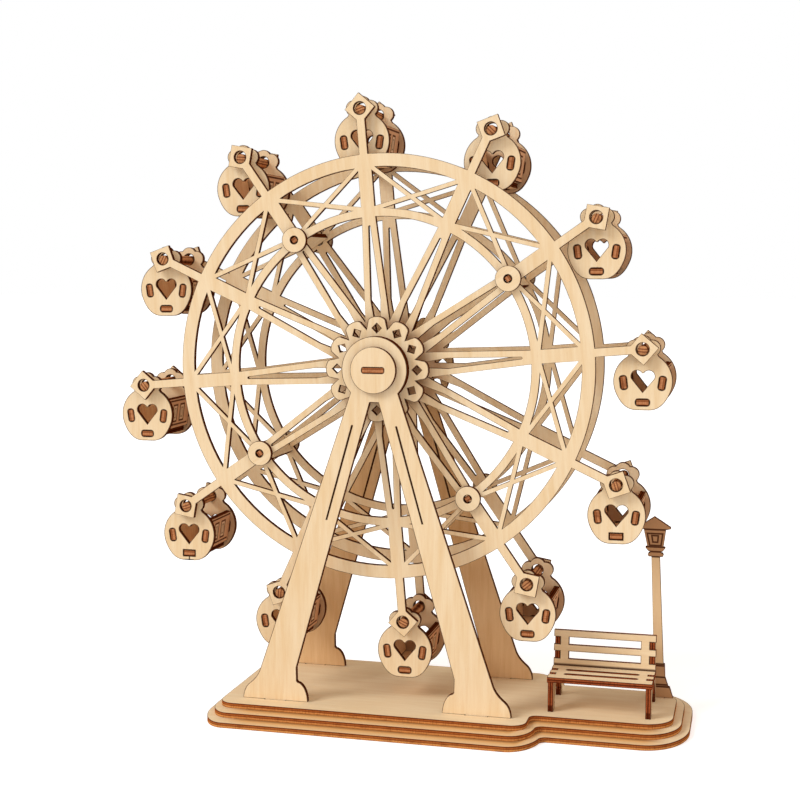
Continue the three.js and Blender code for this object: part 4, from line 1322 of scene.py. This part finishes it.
def end_wall(ply, g, soft, split):
    """An end wall with its heart, its pin hole and three slots."""
    sheet = Sheet(ply.ply)
    wall_outline(sheet, g)
    heart(sheet, g)
    sheet.circle(g.pin_hole, segments=28)
    wall_slots(sheet, g, soft, split)
    return sheet.cut(ply.scorch * WALL_BURN)


def slot_shade_backs(ply, g):
    """Dark plugs of edge finish in the slots' inner halves, behind the ends of the tabs: painted shade of
    the gaps round the tabs.
    """
    sheet = Sheet(ply.ply / 2)
    wall_slots(sheet, g, False, False)
    return sheet.cut(ply.scorch).tint(EDGE)


def tabbed_panel(ply, g, low, high):
    """A panel between the end walls, with a tab through each."""
    play, sunk, tab = 0.05, 0.12, g.tab / 2
    inner, end = g.half_depth - ply.ply - play, g.half_depth - sunk
    sheet = Sheet(ply.ply)
    pen = sheet.pen(0, low).line((inner, low), (inner, -tab), (end, -tab), (end, tab), (inner, tab))
    pen.line((inner, high), (0, high)).mirror("X")
    return sheet.cut(ply.scorch).tint_ends(0, end)


def cabin_sheets(ply, g, soft, split):
    """The sheets of a cabin round its pin: two end walls, the dark plugs of painted shade in their slots,
    two side panels, a floor.
    """
    t = ply.ply
    sheets = [end_wall(ply, g, soft, split).place(facing_front(0, back, 0))
              for back in (t - g.half_depth, g.half_depth)]
    # The rear wall's faces get painted shade: a darker tone, darkest low down
    sheets[1].tint(REAR, is_face)
    for back in (t - g.half_depth, g.half_depth - t / 2):
        sheets.append(slot_shade_backs(ply, g).place(facing_front(0, back, 0)))
    lean = Matrix.Translation((g.panel_offset, 0, -g.panel_drop)) @ Matrix.Rotation(g.panel_lean, 4, "Y")
    for turn in (0, math.pi):
        panel = tabbed_panel(ply, g, g.panel_drop - g.panel_bottom, g.panel_drop - g.panel_top)
        # The panels' inner faces get painted shade
        panel.tint(PANEL, lambda face: is_face(face) and face.normal.z > 0).tint(INSIDE, is_face)
        sheets.append(panel.place(Matrix.Rotation(turn, 4, "Z") @ lean @ facing_side(-t / 2, 0, 0)))
    # Both faces of the floor get painted shade
    floor = tabbed_panel(ply, g, -g.floor / 2, g.floor / 2).tint(INSIDE, is_face)
    sheets.append(floor.place(lying(0, 0, -g.floor_drop - t / 2) @ Matrix.Rotation(QUARTER, 4, "Z")))
    return sheets


def pin_rod(g):
    """A gondola's pin: a round rod of two layers of sheet, with softened ends."""
    rod, softened = Sheet(0), 0.25
    bmesh.ops.create_cone(rod.bm, cap_ends=True, segments=24, radius1=g.pin, radius2=g.pin,
                          depth=2 * g.pin_half)
    rims = [e for e in rod.bm.edges if abs(e.verts[0].co.z - e.verts[1].co.z) < WELD]
    bmesh.ops.bevel(rod.bm, geom=rims, offset=softened, segments=2, profile=0.5, affect="EDGES",
                    material=-1)
    rod.bm.verts.layers.float.new("scorch")
    rod.tint(END)
    along_first = Matrix(((0, 0, 1), (0, 1, 0), (1, 0, 0)))
    rod.draft(along_first)
    return rod.place(Matrix.Rotation(QUARTER, 4, "X"))


class FERRIS_OT_gondolas(bpy.types.Operator):
    """Builds the twelve gondolas and hangs them on their pins"""

    bl_idname = "ferris.gondolas"
    bl_label = "Gondolas"

    def execute(self, context):
        ply, g = sizes_of(context, "gondola")
        sharp, split = (5, 9), (9, 12)
        finishes = [*sheet_finishes(), *finishes_of("panel_face", "inside_face", "wall_face")]
        for k, pivot in enumerate(PIVOTS, start=1):
            body, middle = f"gondola_{k:02d}", pivot / MM
            place = Matrix.Translation(middle)
            sheets = [s.place(place) for s in cabin_sheets(ply, g, k not in sharp, k in split)]
            add_piece(f"{body}_cabin", body, sheets, finishes)
            low = Matrix.Translation(middle - Vector((0, 0, g.pin_hole - g.pin)))
            turned = Matrix.Rotation(k * g.pin_turn, 4, "Y")
            add_piece(f"{body}_pin", body, [pin_rod(g).place(low @ turned)],
                      finishes_of("birch_face", "birch_edge", "pin_end"))
        return {"FINISHED"}


# Bench


def notched(sheet, width, low, high, rows, notch, depth):
    """A plate with square notches in both ends at the given rows."""
    half, bite = width / 2, width / 2 - depth
    pen = sheet.pen(0, low).line((half, low))
    for row in rows:
        low_side, high_side = row - notch / 2, row + notch / 2
        pen.line((half, low_side), (bite, low_side), (bite, high_side), (half, high_side))
    pen.line((half, high), (0, high)).mirror("X")


def bench_side(ply, b, burn, floor, rows):
    """A side frame: legs on pads, an arch, pegs for the seat and a leaning upright."""
    under = b.seat_top - ply.ply
    foot = b.front + b.seat_depth + b.end_play + ply.ply
    c, s = math.cos(b.back_lean), math.sin(b.back_lean)

    def on_back(y, z):
        return foot + y * c + z * s, b.seat_top - y * s + z * c

    rear, toe, pad = b.front + b.depth, b.front + b.foot, floor + b.foot_height
    heel = rear - b.heel
    sheet = Sheet(ply.ply)
    pen = sheet.pen(b.front, floor).line((b.front, under))
    for y in rows:
        w = b.slat_gap / 2
        pen.line((y - w, under), (y - w, b.seat_top), (y + w, b.seat_top), (y + w, under))
    pen.line((foot, under))
    for low in (b.row_low + ply.gap, b.row_high + ply.gap):
        high, deep = low + b.row - 2 * ply.gap, ply.gap - ply.ply
        pen.line(on_back(0, low), on_back(deep, low), on_back(deep, high), on_back(0, high))
    top = b.back_height - b.upright_short
    pen.line(on_back(0, top), on_back(b.upright / 2, top), (foot + b.upright, b.seat_top))
    pen.line((rear - b.foot_out, pad), (rear, pad), (rear, floor), (heel, floor), (heel, pad))
    middle, half, steps = (toe + heel) / 2, (heel - toe) / 2 + b.foot_out, 9
    for k in range(2 * steps + 1):
        u = 1 - k / steps
        pen.line((middle + half * u, pad + b.arch * (1 - u * u)))
    pen.line((toe, pad), (toe, floor)).close()
    return sheet.cut(burn)


class FERRIS_OT_bench(bpy.types.Operator):
    """Builds the park bench"""

    bl_idname = "ferris.bench"
    bl_label = "Bench"

    def execute(self, context):
        ply, b = sizes_of(context, "bench")
        t, burn = ply.ply, ply.scorch * BENCH_BURN
        finishes = finishes_of("bench_face", "bench_edge")
        rows = [b.front + b.seat_depth * share for share in (1 / 3, 2 / 3)]
        seat = Sheet(t)
        notched(seat, b.width, b.front, b.front + b.seat_depth, rows, b.slat_gap + 2 * ply.gap, b.notch)
        for row in rows:
            seat.pill(b.width - 2 * b.end_margin, b.slat_gap, b.slat_gap / 2 - 0.02, 0, row, 3)
        seat.cut(burn, QUARTER).place(lying(b.centre, 0, b.seat_top - t))
        add_piece("bench_seat", "stand", [seat], finishes)
        back = Sheet(t)
        centres = [low + b.row / 2 for low in (b.row_low, b.row_high)]
        notched(back, b.width, -b.back_foot, b.back_height, centres, b.row, b.notch)
        for centre in centres:
            back.box(b.width - 2 * b.end_margin, b.row, 0, centre)
        foot = Matrix.Translation((b.centre, b.front + b.seat_depth + b.end_play + t, b.seat_top))
        back.cut(burn, QUARTER).place(foot @ Matrix.Rotation(-b.back_lean, 4, "X") @ facing_front())
        add_piece("bench_back", "stand", [back], finishes_of("back_face", "bench_edge"))
        half = b.width / 2 - b.inset
        for node, x in (("bench_side_left", b.centre - half), ("bench_side_right", b.centre + half - t)):
            side = bench_side(ply, b, burn, BASE_TOP, rows).place(facing_side(x, 0, 0))
            add_piece(node, "stand", [side], finishes_of("leg_face", "bench_leg"))
        return {"FINISHED"}


# Street lamp


def lamp_outline(sheet, ply, s):
    """Half the lamp from its foot to its tip, and its mirror image, then the lean."""
    floor, tab = BASE_TOP, s.tab / 2
    under = s.lantern_z - s.collar
    bead_top = under - s.waist
    bead_low, soft = bead_top - s.bead, s.bead / 4
    pen = sheet.pen(0, floor - ply.ply).line((tab, floor - ply.ply), (tab, floor), (s.foot_half, floor))
    pen.line((s.step_half + s.step_out, s.step_z), (s.step_half, s.step_z), (s.plinth_half, s.flare_z))
    pen.line((s.plinth_half, s.plinth_z), (s.post_bottom, s.plinth_z), (s.post_top, bead_low))
    pen.line((s.bead_half - soft, bead_low), (s.bead_half, (bead_low + bead_top) / 2))
    pen.line((s.bead_half - soft, bead_top), (s.waist_half, bead_top), (s.waist_half, under))
    pen.line((s.collar_bottom, under), (s.collar_top, s.lantern_z - s.waist), (s.collar_top, s.lantern_z))
    pen.line((s.lantern_bottom, s.lantern_z), (s.lantern_top, s.eave_z), (s.eave_half, s.eave_z))
    pen.line((s.tip_half, s.tip_z - s.tip_edge), (s.tip_half, s.tip_z), (0, s.top)).mirror("X")
    for v in sheet.bm.verts:
        v.co.x -= max(0.0, v.co.y - floor) * math.tan(s.lean)


class FERRIS_OT_lamp(bpy.types.Operator):
    """Cuts the street lamp and stands it in the base"""

    bl_idname = "ferris.lamp"
    bl_label = "Street lamp"

    def execute(self, context):
        ply, s = sizes_of(context, "lamp")
        lamp = Sheet(ply.ply)
        lamp_outline(lamp, ply, s)
        lamp.cut(ply.scorch).place(facing_front(s.centre, s.front + ply.ply, 0))
        add_piece("street_lamp", "stand", [lamp], finishes_of("lamp_face", "birch_edge"))
        return {"FINISHED"}


# Stage


# Light colours: daylight from the key light, and the room's warmer light
DAYLIGHT, NEUTRAL, WARM_ROOM = (0.9, 0.958, 1.0), (1.0, 1.0, 1.0), (1.0, 0.9, 0.82)

# The camera's place and what it looks at, in metres, the shift of its picture and its film's width
CAMERA_PLACE, CAMERA_AIM = Vector((0.1412, -0.56, 0.1756)), Vector((-0.00846, 0, 0.12356))
CAMERA_SHIFT, FILM_WIDTH = (0.0358, -0.0012), 36


def add_sun(name, strength, tone, spread, azimuth, elevation):
    """A soft light from far away: azimuth 0 is in front, and it grows to the right."""
    sun = bpy.data.lights.new(name, "SUN")
    sun.energy, sun.color, sun.angle = strength, tone, math.radians(spread)
    lamp = bpy.data.objects.new(name, sun)
    a, e = math.radians(azimuth), math.radians(elevation)
    source = Vector((math.sin(a) * math.cos(e), -math.cos(a) * math.cos(e), math.sin(e)))
    lamp.location = source * 2
    lamp.rotation_euler = (-source).to_track_quat("-Z", "Y").to_euler()
    bpy.context.scene.collection.objects.link(lamp)


def add_floor(tone):
    """A pale floor, which the camera sees a little brighter than its light makes it."""
    bm = bmesh.new()
    bmesh.ops.create_grid(bm, x_segments=2, y_segments=2, size=8)
    mesh = bpy.data.meshes.new("floor")
    bm.to_mesh(mesh)
    bm.free()
    floor = bpy.data.objects.new("floor", mesh)
    bpy.context.scene.collection.objects.link(floor)
    finish = Finish("floor_paper")
    finish.shader.inputs["Base Color"].default_value = (*tone, 1)
    finish.shader.inputs["Roughness"].default_value = 0.9
    finish.shader.inputs["Specular IOR Level"].default_value = 0.0
    seen = finish.node("LightPath", {}, (), "Is Camera Ray")
    glow = finish.node("Emission", {}, {"Color": NEUTRAL, "Strength": seen * 0.5})
    surface = Value(finish, finish.shader.outputs[0])
    both = finish.node("AddShader", {}, [surface, glow])
    finish.join(finish.tree.nodes["Material Output"].inputs["Surface"], both)
    mesh.materials.append(finish.material)


def light_room(strength):
    """Even light all round, and plain white where the camera sees past the floor."""
    world = bpy.context.scene.world or bpy.data.worlds.new("room")
    bpy.context.scene.world = world
    world.use_nodes = True
    tree = world.node_tree
    tree.nodes.clear()
    room, seen = tree.nodes.new("ShaderNodeBackground"), tree.nodes.new("ShaderNodeBackground")
    room.inputs["Strength"].default_value = strength
    room.inputs["Color"].default_value = (*WARM_ROOM, 1)
    seen.inputs["Color"].default_value = (*NEUTRAL, 1)
    path, blend = tree.nodes.new("ShaderNodeLightPath"), tree.nodes.new("ShaderNodeMixShader")
    output = tree.nodes.new("ShaderNodeOutputWorld")
    tree.links.new(path.outputs["Is Camera Ray"], blend.inputs[0])
    tree.links.new(room.outputs[0], blend.inputs[1])
    tree.links.new(seen.outputs[0], blend.inputs[2])
    tree.links.new(blend.outputs[0], output.inputs["Surface"])


def add_camera(lens):
    """The camera where the model is seen from a little to the right and a little above."""
    data = bpy.data.cameras.new("camera")
    data.lens, data.sensor_width, data.sensor_fit = lens, FILM_WIDTH, "HORIZONTAL"
    data.shift_x, data.shift_y = CAMERA_SHIFT
    camera = bpy.data.objects.new("camera", data)
    camera.location = CAMERA_PLACE
    camera.rotation_euler = (CAMERA_AIM - CAMERA_PLACE).to_track_quat("-Z", "Y").to_euler()
    bpy.context.scene.collection.objects.link(camera)
    bpy.context.scene.camera = camera


class FERRIS_OT_stage(bpy.types.Operator):
    """Sets up the floor, the lights and the camera"""

    bl_idname = "ferris.stage"
    bl_label = "Stage"

    def execute(self, context):
        stage = context.scene.ferris_stage
        add_floor(tuple(stage.floor))
        add_sun("key_light", stage.key, DAYLIGHT, spread=24, azimuth=-52, elevation=36)
        add_sun("fill_light", stage.fill, NEUTRAL, spread=60, azimuth=30, elevation=25)
        light_room(stage.sky)
        add_camera(stage.lens)
        context.scene.view_settings.view_transform = "Standard"
        return {"FINISHED"}


# Panel and registration


class FERRIS_PT_kit(bpy.types.Panel):
    """Lists the model's parts in the order in which they are built"""

    bl_idname = "FERRIS_PT_kit"
    bl_label = "Ferris Wheel"
    bl_space_type = "VIEW_3D"
    bl_region_type = "UI"
    bl_category = "Ferris Wheel"

    def draw(self, context):
        for operator in OPERATORS:
            self.layout.operator(operator.bl_idname)
        for name in GROUPS:
            group = getattr(context.scene, name)
            box = self.layout.box()
            box.label(text=GROUPS[name].__doc__)
            for prop in own_properties(group):
                box.prop(group, prop.identifier)


GROUPS = {
    "ferris_sheet": SheetSizes,
    "ferris_base": BaseSizes,
    "ferris_stand": StandSizes,
    "ferris_wheel": WheelSizes,
    "ferris_gondola": GondolaSizes,
    "ferris_bench": BenchSizes,
    "ferris_lamp": LampSizes,
    "ferris_wood": WoodColours,
    "ferris_stage": StageSettings,
}
OPERATORS = (FERRIS_OT_stage, FERRIS_OT_base, FERRIS_OT_frames, FERRIS_OT_hub, FERRIS_OT_wheel,
             FERRIS_OT_planks, FERRIS_OT_gondolas, FERRIS_OT_bench, FERRIS_OT_lamp)


def register():
    for name, group in GROUPS.items():
        bpy.utils.register_class(group)
        setattr(bpy.types.Scene, name, bpy.props.PointerProperty(type=group))
    for cls in (*OPERATORS, FERRIS_PT_kit):
        bpy.utils.register_class(cls)


def unregister():
    for cls in (FERRIS_PT_kit, *reversed(OPERATORS)):
        bpy.utils.unregister_class(cls)
    for name, group in reversed(GROUPS.items()):
        delattr(bpy.types.Scene, name)
        bpy.utils.unregister_class(group)


def main():
    """Builds the whole model."""
    register()
    for operator in OPERATORS:
        family, name = operator.bl_idname.split(".")
        getattr(getattr(bpy.ops, family), name)()


if __name__ == "__main__":
    main()
